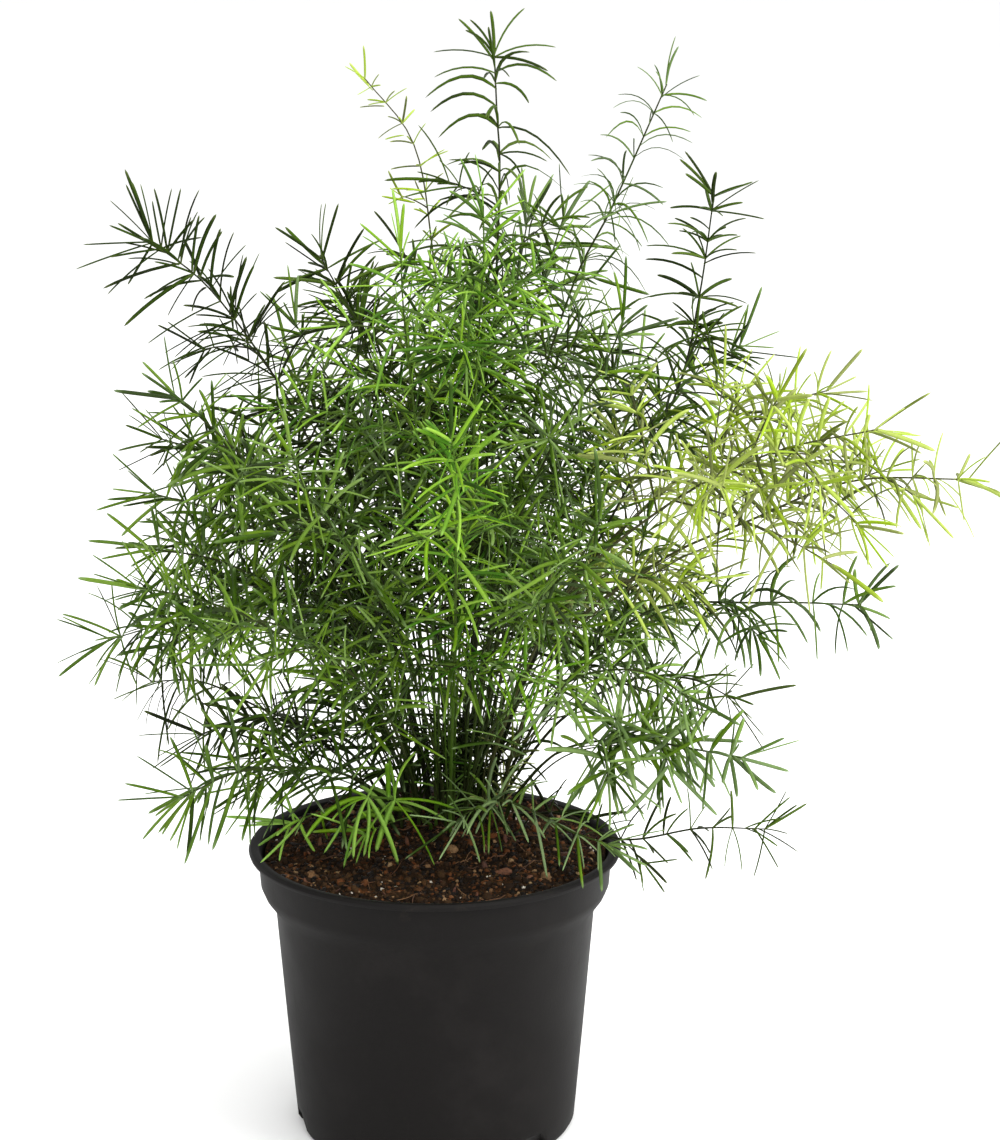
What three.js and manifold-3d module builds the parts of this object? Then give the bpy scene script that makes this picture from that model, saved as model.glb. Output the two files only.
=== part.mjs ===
// An asparagus fern in a black nursery pot: forty-one wiry stems rise from one crown in the
// soil, and carry side twigs and needle-like cladodes. Millimetres, +Z up, the middle of
// the pot's underside at the origin.
import * as THREE from 'three';
import { mergeVertices } from 'three/addons/utils/BufferGeometryUtils.js';
import Module from 'manifold-3d';

const wasm = await Module();
wasm.setup();

// pot
const lipRadius = 75;
const lipTop = 118;
const bandBottom = 102;
const bandRadius = 70.3;
const shoulderHeight = 93;
const bodyRadius = 64.4;
const baseRadius = 56.6;
const wall = 1.3;
const floorStep = 6.2;
const centreDiscRadius = 40;
const potSides = 32;

// notches round the bottom corner of the pot
const notchCount = 6;
const notchTurn = -46;
const notchWidth = 20;
const notchTopWidth = 8;
const notchHeight = 8.3;
const notchDepth = 6;

// soil
const soilGap = 0.3;
const soilEdge = 114;
const soilTilt = 3.5;
const crownRise = 4;
const crown = new THREE.Vector2(6, 30);
const crownSpread = 34;
const holeRadius = 1.85;
const holeDepth = 13.4;
const rootDepth = 12.5;
const collarHeight = 2.5;

// stems, side twigs and cladodes
const stemSteps = 8;
const stemRadius = 0.95;
const stemTaper = 0.04;
const firstLean = 0.2;
const firstRise = 0.35;
const leafyShare = 0.575;
const nodeSpacing = 8.5;
const bareTipNodes = 6;
const branchEvery = 5;
const branchSteps = 2;
const branchRadii = [0.38, 0.66, 0.54];
const branchDroop = -0.25;
const starCladodes = 3;
const starSpacing = 2.6;
const cladodeSpacing = 14;
const cladodeRadius = 1.15;
const cladodeWaist = 0.32;
const cladodeLength = 25;
const cladodeFlatness = 0.62;
const cladodeArch = 0.16;
const cladodeDroop = -0.6;
const clearance = 0.35;

const potPlastic = new THREE.MeshStandardMaterial({ color: 0x242426, roughness: 0.5, metalness: 0 });
const peat = new THREE.MeshStandardMaterial({ color: 0x2e1a10, roughness: 0.95, metalness: 0 });
const midGreen = new THREE.MeshStandardMaterial({ color: 0x3f7a1c, roughness: 0.55, metalness: 0 });
const darkGreen = new THREE.MeshStandardMaterial({ color: 0x2c4a1c, roughness: 0.6, metalness: 0 });
const brightGreen = new THREE.MeshStandardMaterial({ color: 0x5fa32b, roughness: 0.5, metalness: 0 });
const yellowGreen = new THREE.MeshStandardMaterial({ color: 0x9dbb2c, roughness: 0.5, metalness: 0 });

// Each stem stands at foot (x, y) in the soil and runs through its points to its tip.
const stems = [
  { name: 'stem_leader', foot: [9, 30], green: darkGreen,
    points: [[17, 4, 202], [22, 0, 292], [26, -2, 382], [25, -3, 412], [24, -4, 435]] },
  { name: 'stem_pale_shoot', foot: [3, 37], green: yellowGreen, size: 0.5,
    points: [[4, 26, 195], [4, 34, 293], [-1, 36, 357], [-8, 34, 396], [-27, 30, 422]] },
  { name: 'stem_tall_right', foot: [18, 33], green: midGreen, size: 0.85,
    points: [[26, 14, 207], [38, 20, 284], [55, 24, 341], [70, 18, 373], [90, 4, 422]] },
  { name: 'stem_right_spike', foot: [22, 28], green: darkGreen, size: 0.8,
    points: [[42, 10, 196], [74, 14, 256], [96, 16, 300], [104, 14, 337], [109, 8, 379]] },
  { name: 'stem_left_arm', foot: [-3, 29], green: darkGreen,
    points: [[-19, -2, 211], [-45, -8, 278], [-60, -12, 310], [-84, -18, 346], [-106, -24, 366]] },
  { name: 'stem_left_star', foot: [-7, 25], green: midGreen,
    points: [[-24, -14, 206], [-50, -34, 260], [-72, -46, 288], [-96, -56, 314]] },
  { name: 'stem_left_mid', foot: [-12, 31], green: midGreen,
    points: [[-34, 2, 198], [-61, 0, 223], [-86, -6, 237], [-111, -16, 244]] },
  { name: 'stem_left_fan', foot: [-7, 33], green: midGreen,
    points: [[-29, 12, 199], [-57, 10, 235], [-82, 4, 253], [-109, -4, 263]] },
  { name: 'stem_left_tip', foot: [-11, 38], green: midGreen,
    points: [[-34, 20, 180], [-67, 30, 207], [-102, 30, 203], [-132, 24, 196]] },
  { name: 'stem_left_thin', foot: [-17, 34], green: darkGreen,
    points: [[-37, 34, 151], [-69, 52, 157], [-97, 62, 167], [-120, 64, 167]] },
  { name: 'stem_left_low', foot: [-15, 26], green: midGreen,
    points: [[-35, -20, 153], [-57, -42, 163], [-76, -56, 165], [-96, -62, 157]] },
  { name: 'stem_left_skirt', foot: [-21, 28], green: darkGreen,
    points: [[-34, 0, 156], [-54, -8, 170], [-73, -16, 175], [-92, -22, 170]] },
  { name: 'stem_soil_star', foot: [-2, 16], green: brightGreen,
    points: [[-5, -9, 131], [-14, -17, 141], [-30, -24, 144], [-57, -24, 134]] },
  { name: 'stem_soil_right', foot: [19, 17], green: midGreen,
    points: [[26, -22, 143], [40, -34, 142], [55, -44, 137], [69, -50, 134]] },
  { name: 'stem_right_low', foot: [32, 29], green: darkGreen, size: 0.75,
    points: [[52, 2, 129], [75, -14, 124], [106, -12, 128], [133, -10, 127]] },
  { name: 'stem_far_right', foot: [26, 24], green: yellowGreen,
    points: [[50, -4, 204], [89, -8, 237], [123, -12, 254], [163, -16, 271], [208, -22, 273]] },
  { name: 'stem_yellow', foot: [19, 21], green: yellowGreen,
    points: [[50, -24, 225], [87, -44, 266], [127, -58, 291], [166, -70, 303]] },
  { name: 'stem_right_mid', foot: [26, 32], green: midGreen,
    points: [[50, 8, 180], [86, 20, 209], [132, 30, 210], [173, 34, 208]] },
  { name: 'stem_right_green', foot: [28, 19], green: midGreen,
    points: [[50, -24, 164], [76, -44, 175], [99, -56, 175], [119, -62, 173]] },
  { name: 'stem_right_back', foot: [27, 37], green: darkGreen,
    points: [[51, 34, 159], [80, 62, 168], [106, 78, 164], [126, 84, 153]] },
  { name: 'stem_upper_left', foot: [5, 42], green: darkGreen,
    points: [[-4, 36, 226], [-20, 52, 289], [-34, 58, 323], [-46, 60, 346]] },
  { name: 'stem_left_shoulder', foot: [2, 32], green: midGreen,
    points: [[-7, -4, 236], [-28, 4, 287], [-43, 8, 310], [-54, 12, 328]] },
  { name: 'stem_left_crest', foot: [0, 23], green: brightGreen,
    points: [[-1, -14, 239], [-7, -30, 306], [-10, -38, 340], [-11, -42, 365]] },
  { name: 'stem_mid_crest', foot: [11, 34], green: midGreen,
    points: [[22, 34, 243], [34, 54, 305], [44, 62, 337], [52, 66, 362]] },
  { name: 'stem_right_crest', foot: [15, 26], green: midGreen,
    points: [[28, -20, 240], [49, -40, 296], [64, -50, 321], [72, -56, 340]] },
  { name: 'stem_right_crown', foot: [17, 42], green: midGreen,
    points: [[42, 30, 228], [75, 56, 272], [104, 66, 295], [125, 72, 308]] },
  { name: 'stem_yellow_top', foot: [20, 37], green: yellowGreen,
    points: [[58, 22, 222], [103, 44, 262], [136, 54, 285], [160, 58, 292]] },
  { name: 'stem_left_back', foot: [-4, 39], green: darkGreen,
    points: [[-27, 40, 208], [-61, 70, 243], [-88, 86, 257], [-116, 94, 264]] },
  { name: 'stem_left_down', foot: [-14, 20], green: midGreen,
    points: [[-34, -30, 187], [-62, -50, 221], [-87, -64, 236], [-110, -72, 243]] },
  { name: 'stem_front_mid', foot: [6, 13], green: brightGreen,
    points: [[9, -50, 216], [10, -86, 265], [11, -116, 294], [9, -136, 313]] },
  { name: 'stem_front_right', foot: [12, 22], green: midGreen,
    points: [[22, -46, 207], [41, -82, 241], [55, -108, 263], [62, -130, 283]] },
  { name: 'stem_front_left', foot: [4, 19], green: midGreen,
    points: [[-12, -46, 215], [-29, -80, 259], [-42, -106, 284], [-48, -126, 307]] },
  { name: 'stem_front_fall_left', foot: [-7, 20], green: midGreen,
    points: [[-18, -52, 189], [-40, -90, 224], [-61, -116, 242], [-76, -134, 240]] },
  { name: 'stem_front_fall_right', foot: [11, 17], green: midGreen,
    points: [[26, -50, 185], [52, -88, 212], [77, -112, 222], [95, -128, 216]] },
  { name: 'stem_back_mid', foot: [1, 48], green: midGreen,
    points: [[8, 70, 200], [10, 104, 266], [13, 124, 300], [15, 136, 320]] },
  { name: 'stem_back_right', foot: [10, 46], green: midGreen,
    points: [[26, 66, 202], [52, 104, 248], [69, 126, 274], [86, 140, 284]] },
  { name: 'stem_back_left', foot: [-3, 44], green: midGreen,
    points: [[-13, 66, 202], [-37, 104, 244], [-55, 126, 270], [-66, 140, 293]] },
  { name: 'stem_back_low_right', foot: [24, 43], green: midGreen,
    points: [[30, 66, 167], [56, 106, 186], [78, 132, 184], [97, 146, 170]] },
  { name: 'stem_back_low_left', foot: [-12, 42], green: midGreen,
    points: [[-18, 62, 164], [-46, 100, 184], [-74, 128, 185], [-93, 144, 175]] },
  { name: 'stem_crest_front', foot: [7, 25], green: brightGreen,
    points: [[15, -20, 272], [18, -34, 330], [20, -40, 361], [20, -42, 382]] },
  { name: 'stem_crest_back', foot: [10, 39], green: midGreen,
    points: [[22, 50, 256], [30, 76, 309], [34, 88, 336], [38, 92, 359]] },
];

const up = new THREE.Vector3(0, 0, 1);
const radians = THREE.MathUtils.degToRad;

// ---- solids ----

function solidOf(geometry) {
  const bare = geometry.clone();
  bare.deleteAttribute('normal');
  bare.deleteAttribute('uv');
  const merged = mergeVertices(bare, 1e-5);
  const corners = merged.index.array;
  const triangles = [];
  for (let i = 0; i < corners.length; i += 3) {
    const [a, b, c] = [corners[i], corners[i + 1], corners[i + 2]];
    if (a !== b && b !== c && c !== a) triangles.push(a, b, c);
  }
  return new wasm.Manifold(new wasm.Mesh({
    numProp: 3,
    vertProperties: new Float32Array(merged.attributes.position.array),
    triVerts: new Uint32Array(triangles),
  }));
}

function geometryOf(solid) {
  const mesh = solid.getMesh();
  const geometry = new THREE.BufferGeometry();
  geometry.setAttribute('position', new THREE.BufferAttribute(mesh.vertProperties, 3));
  geometry.setIndex(new THREE.BufferAttribute(mesh.triVerts, 1));
  geometry.computeVertexNormals();
  return geometry;
}

function joined(solids) {
  return solids.reduce((whole, piece) => whole.add(piece));
}

function turnedSolid(profile) {
  const points = profile.map(([radius, height]) => new THREE.Vector2(radius, height));
  return new THREE.LatheGeometry(points, potSides).rotateX(Math.PI / 2);
}

// ---- pot and soil ----

function makePot() {
  const profile = [
    [0, 0], [centreDiscRadius, 0], [centreDiscRadius + 2, floorStep], [50.6, floorStep],
    [51.4, 0], [baseRadius - 1.4, 0], [baseRadius, 2.5],
    [bodyRadius, shoulderHeight], [bandRadius - 0.6, bandBottom - 2.2], [bandRadius, bandBottom + 0.6],
    [bandRadius + 1, lipTop - 2.7], [lipRadius - 0.3, lipTop - 2.6], [lipRadius, lipTop - 1.3],
    [lipRadius - 0.8, lipTop], [bandRadius + 1, lipTop],
    [bandRadius - 0.5, lipTop - 1.4], [bandRadius - wall, bandBottom + 0.3],
    [bodyRadius - wall + 0.1, shoulderHeight + 0.6],
    [baseRadius - wall + 0.3, floorStep + 2.6], [baseRadius - 3, floorStep + 1.5],
    [centreDiscRadius + 2.6, floorStep + 1.5], [centreDiscRadius + 0.6, 1.5], [0, 1.5],
  ];
  const shell = solidOf(turnedSolid(profile));
  return shell.subtract(joined(notches()));
}

// A notch is a sloping bite out of the foot ring, wide below and narrow above.
function notches() {
  const reach = 8;
  const inner = baseRadius - notchDepth;
  const front = new THREE.Shape([
    new THREE.Vector2(-notchWidth / 2, -2), new THREE.Vector2(notchWidth / 2, -2),
    new THREE.Vector2(notchWidth / 2 - 1.4, notchHeight * 0.55),
    new THREE.Vector2(notchTopWidth / 2, notchHeight), new THREE.Vector2(-notchTopWidth / 2, notchHeight),
    new THREE.Vector2(-notchWidth / 2 + 1.4, notchHeight * 0.55),
  ]);
  const side = new THREE.Shape([
    new THREE.Vector2(inner - 1.5, -2), new THREE.Vector2(inner + notchDepth + reach, -2),
    new THREE.Vector2(inner + notchDepth + reach, notchHeight + 1),
    new THREE.Vector2(inner + notchDepth + 0.4, notchHeight + 1),
  ]);
  const bite = solidOf(new THREE.ExtrudeGeometry(front, { depth: 30, bevelEnabled: false })
    .rotateX(Math.PI / 2).rotateZ(Math.PI / 2).translate(inner - 5, 0, 0));
  const ramp = solidOf(new THREE.ExtrudeGeometry(side, { depth: 40, bevelEnabled: false })
    .rotateX(Math.PI / 2).translate(0, 20, 0));
  const notch = bite.intersect(ramp);
  return Array.from({ length: notchCount }, (_, i) => notch.rotate([0, 0, notchTurn + i * 360 / notchCount]));
}

function soilHeight(x, y) {
  const reach = ((x - crown.x) ** 2 + (y - crown.y) ** 2) / crownSpread ** 2;
  const lumps = 0.9 * Math.sin(x / 7.1 + 1.3) * Math.cos(y / 8.3) + 0.6 * Math.sin(y / 4.7 + x / 11);
  return soilEdge + soilTilt * y / lipRadius + crownRise * Math.exp(-reach) + lumps;
}

function makeSoil() {
  const g = soilGap;
  const rimOfSoil = bandRadius - wall - g;
  const profile = [
    [0, 1.5 + g], [centreDiscRadius + 0.5 - g, 1.5 + g], [centreDiscRadius + 2.3, floorStep + 1.5 + g],
    [baseRadius - 3 - g, floorStep + 1.5 + g], [baseRadius - wall - g, floorStep + 2.8 + g],
    [bodyRadius - wall - g, shoulderHeight + 0.7 + g], [rimOfSoil - 0.1, bandBottom + 1 + g],
    [rimOfSoil, soilEdge], [54, soilEdge], [36, soilEdge], [18, soilEdge], [0, soilEdge],
  ];
  const geometry = turnedSolid(profile);
  const place = geometry.attributes.position;
  for (let i = 0; i < place.count; i++) {
    const [x, y, z] = [place.getX(i), place.getY(i), place.getZ(i)];
    if (z > soilEdge - 0.5) place.setZ(i, soilHeight(x, y));
  }
  const holes = stems.map(({ foot: [x, y] }) => {
    const hole = new THREE.CylinderGeometry(holeRadius, holeRadius, 2 * holeDepth, 4);
    return solidOf(hole.rotateX(Math.PI / 2).translate(x, y, soilHeight(x, y)));
  });
  return holes.reduce((soil, hole) => soil.subtract(hole), solidOf(geometry));
}

// ---- how the plant grows ----

// The way a rod's three flat sides face, one after the other.
function rodFaceTurn(i) {
  return 90 + 120 * i;
}

// A repeatable draw between 0 and 1.
function draw(a, b, c) {
  const value = Math.sin(a * 12.9898 + b * 78.233 + c * 37.719) * 43758.5453;
  return value - Math.floor(value);
}

// A stem stands upright in its hole, and bends from its collar, just above the soil.
function stemChain({ foot: [x, y], points }) {
  const [px, py, pz] = points[0];
  const ground = soilHeight(x, y);
  const collar = [x, y, ground + collarHeight];
  const early = [
    x + (px - x) * firstLean, y + (py - y) * firstLean, ground + (pz - ground) * firstRise,
  ];
  const route = [collar, early, ...points].map((p) => new THREE.Vector3(...p));
  const curve = new THREE.CatmullRomCurve3(route, false, 'catmullrom', 0.5);
  const root = new THREE.Vector3(x, y, ground - rootDepth);
  return new Chain([root, ...curve.getSpacedPoints(stemSteps)]);
}

// Two directions square to an axis.
function sidesOf(axis) {
  const level = new THREE.Vector3().crossVectors(up, axis);
  if (level.length() < 0.05) level.set(1, 0, 0);
  level.normalize();
  return [level, new THREE.Vector3().crossVectors(axis, level).normalize()];
}

// A direction that leaves an axis at an opening angle, turned round it.
function leaving(axis, opening, turn) {
  const [level, lift] = sidesOf(axis);
  return axis.clone().multiplyScalar(Math.cos(opening))
    .addScaledVector(level, Math.sin(opening) * Math.cos(turn))
    .addScaledVector(lift, Math.sin(opening) * Math.sin(turn))
    .normalize();
}

// A chain of straight runs. Places on it are given by their distance from its end.
class Chain {
  constructor(corners) {
    this.corners = corners;
    this.runs = corners.slice(1).map((corner, i) => new THREE.Line3(corners[i], corner));
    this.length = this.runs.reduce((sum, run) => sum + run.distance(), 0);
  }
  fromEnd(distance) {
    let left = distance;
    let i = this.runs.length - 1;
    while (i > 0 && left > this.runs[i].distance()) left -= this.runs[i--].distance();
    const run = this.runs[i];
    return {
      point: run.at(1 - left / run.distance(), new THREE.Vector3()),
      axis: run.delta(new THREE.Vector3()).normalize(),
    };
  }
}

// What stands so far. A shoot is one stem or twig with its cladodes, and is clear of all others.
const standing = [];

function isClear(run, radius, shoot, bearer) {
  return standing.every((other) => {
    if (other.shoot === shoot || other.shoot === bearer) return true;
    const gap = radius + other.radius + clearance;
    return run.distanceSqToLine3(other.run) > gap * gap;
  });
}

// Nothing that a stem carries touches the pot, the soil or the ground.
function isAbovePot(point) {
  const out = Math.hypot(point.x, point.y);
  return point.z > (out < lipRadius + 3 ? lipTop + 3 : 4);
}

function keep(runs, radius, shoot) {
  for (const run of runs) standing.push({ run, radius, shoot });
}

function branchChain(root, heading, length) {
  const middle = root.clone().addScaledVector(heading, length * 0.55).addScaledVector(up, length * 0.06);
  const end = root.clone().addScaledVector(heading, length).addScaledVector(up, -length * 0.08);
  return new Chain(new THREE.QuadraticBezierCurve3(root, middle, end).getPoints(branchSteps));
}

// A side twig takes the first of a few turns round its stem that is clear of the other stems.
function growBranch(stem, node) {
  const { point: root, axis } = stem.chain.fromEnd(node * nodeSpacing);
  const opening = radians(48 + 20 * draw(stem.id, node, 1));
  const turn = rodFaceTurn(node) + 40 * (draw(stem.id, node, 2) - 0.5);
  const full = Math.min(20 + 4.5 * (node - bareTipNodes), 34 + 26 * draw(stem.id, node, 3));
  for (const shorter of [1, 0.75, 0.55]) {
    for (const swing of [0, 120, -120, 25, -25, 145, -95, 60]) {
      const heading = leaving(axis, opening, radians(turn + swing));
      heading.z = Math.max(heading.z, branchDroop);
      heading.normalize();
      const length = full * shorter * stem.size;
      const chain = branchChain(root, heading, length);
      const shoot = `${stem.name} ${node}`;
      const clear = chain.runs.every((run) =>
        isClear(run, branchRadii[1], shoot, stem.name) && isAbovePot(run.end));
      if (clear) {
        keep(chain.runs, branchRadii[1], shoot);
        return { node, shoot, chain };
      }
    }
  }
  return null;
}

// ---- fused pieces of a stem ----

// A three-sided rod bent along a chain of corners, with one radius for each corner.
function rod(chain, radii) {
  const steps = chain.runs.length;
  const rings = radii.map((radius, i) => new THREE.Vector2(radius, i));
  const profile = [new THREE.Vector2(0, 0), ...rings, new THREE.Vector2(0, steps)];
  const geometry = new THREE.LatheGeometry(profile, 3);
  const whole = chain.corners[steps].clone().sub(chain.corners[0]);
  const [level] = sidesOf(whole.normalize());
  const place = geometry.attributes.position;
  for (let i = 0; i < place.count; i++) {
    const ring = Math.round(place.getY(i));
    const before = chain.runs[Math.max(ring - 1, 0)].delta(new THREE.Vector3()).normalize();
    const after = chain.runs[Math.min(ring, steps - 1)].delta(new THREE.Vector3()).normalize();
    const along = before.add(after).normalize();
    const across = level.clone().addScaledVector(along, -level.dot(along)).normalize();
    const square = new THREE.Vector3().crossVectors(across, along);
    const point = chain.corners[ring].clone()
      .addScaledVector(across, place.getX(i))
      .addScaledVector(square, place.getZ(i));
    place.setXYZ(i, point.x, point.y, point.z);
  }
  return solidOf(geometry);
}

// A three-sided needle, widest below its middle, which arches a little and droops at the tip.
function cladode(root, heading, length) {
  const profile = [[0, -0.3], [cladodeRadius, cladodeWaist * length], [0, length]];
  const points = profile.map(([radius, along]) => new THREE.Vector2(radius, along));
  const geometry = new THREE.LatheGeometry(points, 3);
  const [level, lift] = sidesOf(heading);
  const frame = new THREE.Matrix4().makeBasis(level.negate(), heading, lift).setPosition(root);
  const place = geometry.attributes.position;
  for (let i = 0; i < place.count; i++) {
    const along = Math.max(place.getY(i), 0) / length;
    const arch = cladodeArch * length * along * (1 - along);
    place.setZ(i, place.getZ(i) * cladodeFlatness + arch);
  }
  return solidOf(geometry.applyMatrix4(frame));
}

// Cladodes stand round a node of a stem or twig; at the very tip they close up to a star.
function cladodeHeading(stem, place, k, axis, atTip) {
  const opening = radians((atTip ? 22 : 52) + (atTip ? 30 : 26) * draw(stem.id, place, 10 + k));
  const turn = radians(rodFaceTurn(k) + 40 * (draw(stem.id, place, 20 + k) - 0.5));
  const heading = leaving(axis, opening, turn);
  heading.z = Math.max(heading.z, cladodeDroop);
  return heading.normalize();
}

function growCladode(stem, shoot, place, k, { point: root, axis }, atTip) {
  const length = cladodeLength * (0.86 + 0.28 * draw(stem.id, place, 30 + k)) * stem.size;
  const wanted = cladodeHeading(stem, place, k, axis, atTip);
  for (const swing of [0, 35, -35, 70, -70]) {
    const heading = wanted.clone().applyAxisAngle(axis, radians(swing));
    const waist = root.clone()
      .addScaledVector(heading, length * cladodeWaist)
      .addScaledVector(up, length * cladodeArch / 4);
    const tip = root.clone().addScaledVector(heading, length);
    const runs = [new THREE.Line3(root, waist), new THREE.Line3(waist, tip)];
    if (runs.every((run) => isClear(run, cladodeRadius, shoot, shoot) && isAbovePot(run.end))) {
      keep(runs, cladodeRadius, shoot);
      return [cladode(root, heading, length)];
    }
  }
  return [];
}

// Cladodes of one shoot: a star of three at its tip and single ones back along it.
function growShoot(stem, shoot, chain, place, last) {
  const solids = [];
  for (let k = 0; k < starCladodes; k++) {
    solids.push(...growCladode(stem, shoot, place, k, chain.fromEnd(1 + starSpacing * k), true));
  }
  for (let node = 1; node <= last; node++) {
    const spot = chain.fromEnd(node * cladodeSpacing);
    solids.push(...growCladode(stem, shoot, place + node, node % 3, spot, false));
  }
  return solids;
}

function makeStem(stem) {
  const radii = stem.chain.corners.map((_, i) => stemRadius * (1 - stemTaper * i));
  const solids = [rod(stem.chain, radii)];
  solids.push(...growShoot(stem, stem.name, stem.chain, 0, 4));
  for (const branch of stem.branches) {
    solids.push(rod(branch.chain, branchRadii));
    solids.push(...growShoot(stem, branch.shoot, branch.chain, 100 * branch.node, 1));
  }
  return joined(solids);
}

// ---- the object ----

const object = new THREE.Group();
object.name = 'potted_asparagus_fern';

function addPiece(name, solid, material) {
  const mesh = new THREE.Mesh(geometryOf(solid), material);
  mesh.name = name;
  object.add(mesh);
}

addPiece('pot', makePot(), potPlastic);
addPiece('soil', makeSoil(), peat);

const grown = stems.map((row, id) => {
  const chain = stemChain(row);
  keep(chain.runs, stemRadius, row.name);
  return { ...row, id, size: row.size ?? 1, chain, branches: [] };
});
for (const stem of grown) {
  const leafyNodes = Math.floor(stem.chain.length * leafyShare / nodeSpacing);
  for (let node = bareTipNodes + 1; node <= leafyNodes; node += branchEvery) {
    const branch = growBranch(stem, node);
    if (branch) stem.branches.push(branch);
  }
}
for (const stem of grown) addPiece(stem.name, makeStem(stem), stem.green);

export default object;
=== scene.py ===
import math
import bmesh
import bpy
import numpy as np
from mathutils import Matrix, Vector, noise


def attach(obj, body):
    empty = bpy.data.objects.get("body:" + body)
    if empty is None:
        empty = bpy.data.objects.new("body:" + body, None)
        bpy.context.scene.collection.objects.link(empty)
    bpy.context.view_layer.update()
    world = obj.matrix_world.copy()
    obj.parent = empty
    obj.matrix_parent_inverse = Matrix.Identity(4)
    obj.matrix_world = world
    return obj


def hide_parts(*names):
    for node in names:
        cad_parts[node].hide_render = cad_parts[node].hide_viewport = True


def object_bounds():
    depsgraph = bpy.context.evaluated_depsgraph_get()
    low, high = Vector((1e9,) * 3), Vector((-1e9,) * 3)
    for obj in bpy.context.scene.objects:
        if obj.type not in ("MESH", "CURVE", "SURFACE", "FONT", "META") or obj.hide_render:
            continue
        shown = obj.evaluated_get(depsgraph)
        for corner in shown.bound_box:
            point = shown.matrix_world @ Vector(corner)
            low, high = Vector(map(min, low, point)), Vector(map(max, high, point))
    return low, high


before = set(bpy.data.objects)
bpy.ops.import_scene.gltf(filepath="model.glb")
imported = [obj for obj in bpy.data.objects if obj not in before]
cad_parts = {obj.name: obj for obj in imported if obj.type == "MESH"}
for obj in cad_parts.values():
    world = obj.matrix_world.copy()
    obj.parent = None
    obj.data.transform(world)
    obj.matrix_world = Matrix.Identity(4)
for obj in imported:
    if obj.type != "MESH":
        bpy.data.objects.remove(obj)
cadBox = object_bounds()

mm = 0.001
bpy.ops.object.select_all(action="DESELECT")
print("frame loaded:", len(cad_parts), "nodes")


# camera, floor and light

cameraValues = {"place": (0.026208, -1.32863, 0.57093), "tiltDeg": 75.66, "lensMm": 109.64, "frameMm": 36.0}

studioValues = {
    "floorRadius": 7.0, "floorColour": (0.93, 0.93, 0.925), "floorGrain": (0.95, 0.95, 0.945),
    "skyColour": (1.0, 1.0, 1.0), "skyStrength": 1.06,
    # the place of each softbox, where it points, its size and its watts
    "keySoftbox": ((0.1, -1.6, 1.9), (0, 0, 0.2), 1.8, 20.0),
    "fillSoftbox": ((1.6, -0.8, 1.3), (0, 0, 0.2), 1.5, 34.0),
    "topSoftbox": ((0.1, 0.7, 1.7), (0, 0, 0.25), 0.9, 12.0),
}


def makeCamera():
    v = cameraValues
    bpy.ops.object.camera_add(location=v["place"], rotation=(math.radians(v["tiltDeg"]), 0, 0))
    camera = bpy.context.object
    camera.name = "studioCamera"
    camera.data.sensor_fit = "VERTICAL"
    camera.data.sensor_height = v["frameMm"]
    camera.data.lens = v["lensMm"]
    camera.data.clip_end = 30
    bpy.context.scene.camera = camera


def addSoftbox(name, place, aim, size, watts):
    bpy.ops.object.light_add(type="AREA", location=place)
    lamp = bpy.context.object
    lamp.name = name
    lamp.rotation_euler = (Vector(aim) - Vector(place)).to_track_quat("-Z", "Y").to_euler()
    lamp.data.shape = "DISK"
    lamp.data.size = size
    lamp.data.energy = watts


def makeStudio():
    v = studioValues
    world = bpy.data.worlds.new("paleStudio")
    world.use_nodes = True
    sky = world.node_tree.nodes["Background"]
    sky.inputs["Color"].default_value = (*v["skyColour"], 1)
    sky.inputs["Strength"].default_value = v["skyStrength"]
    bpy.context.scene.world = world
    bpy.context.scene.view_settings.view_transform = "Standard"
    for name in ("keySoftbox", "fillSoftbox", "topSoftbox"):
        addSoftbox(name, *v[name])
    bpy.ops.mesh.primitive_circle_add(vertices=64, radius=v["floorRadius"], fill_type="NGON")
    floor = bpy.context.object
    floor.name = "studioFloor"
    floor.data.materials.append(paleFloor())
    print("studio: camera, floor and softboxes")


# materials

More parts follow.
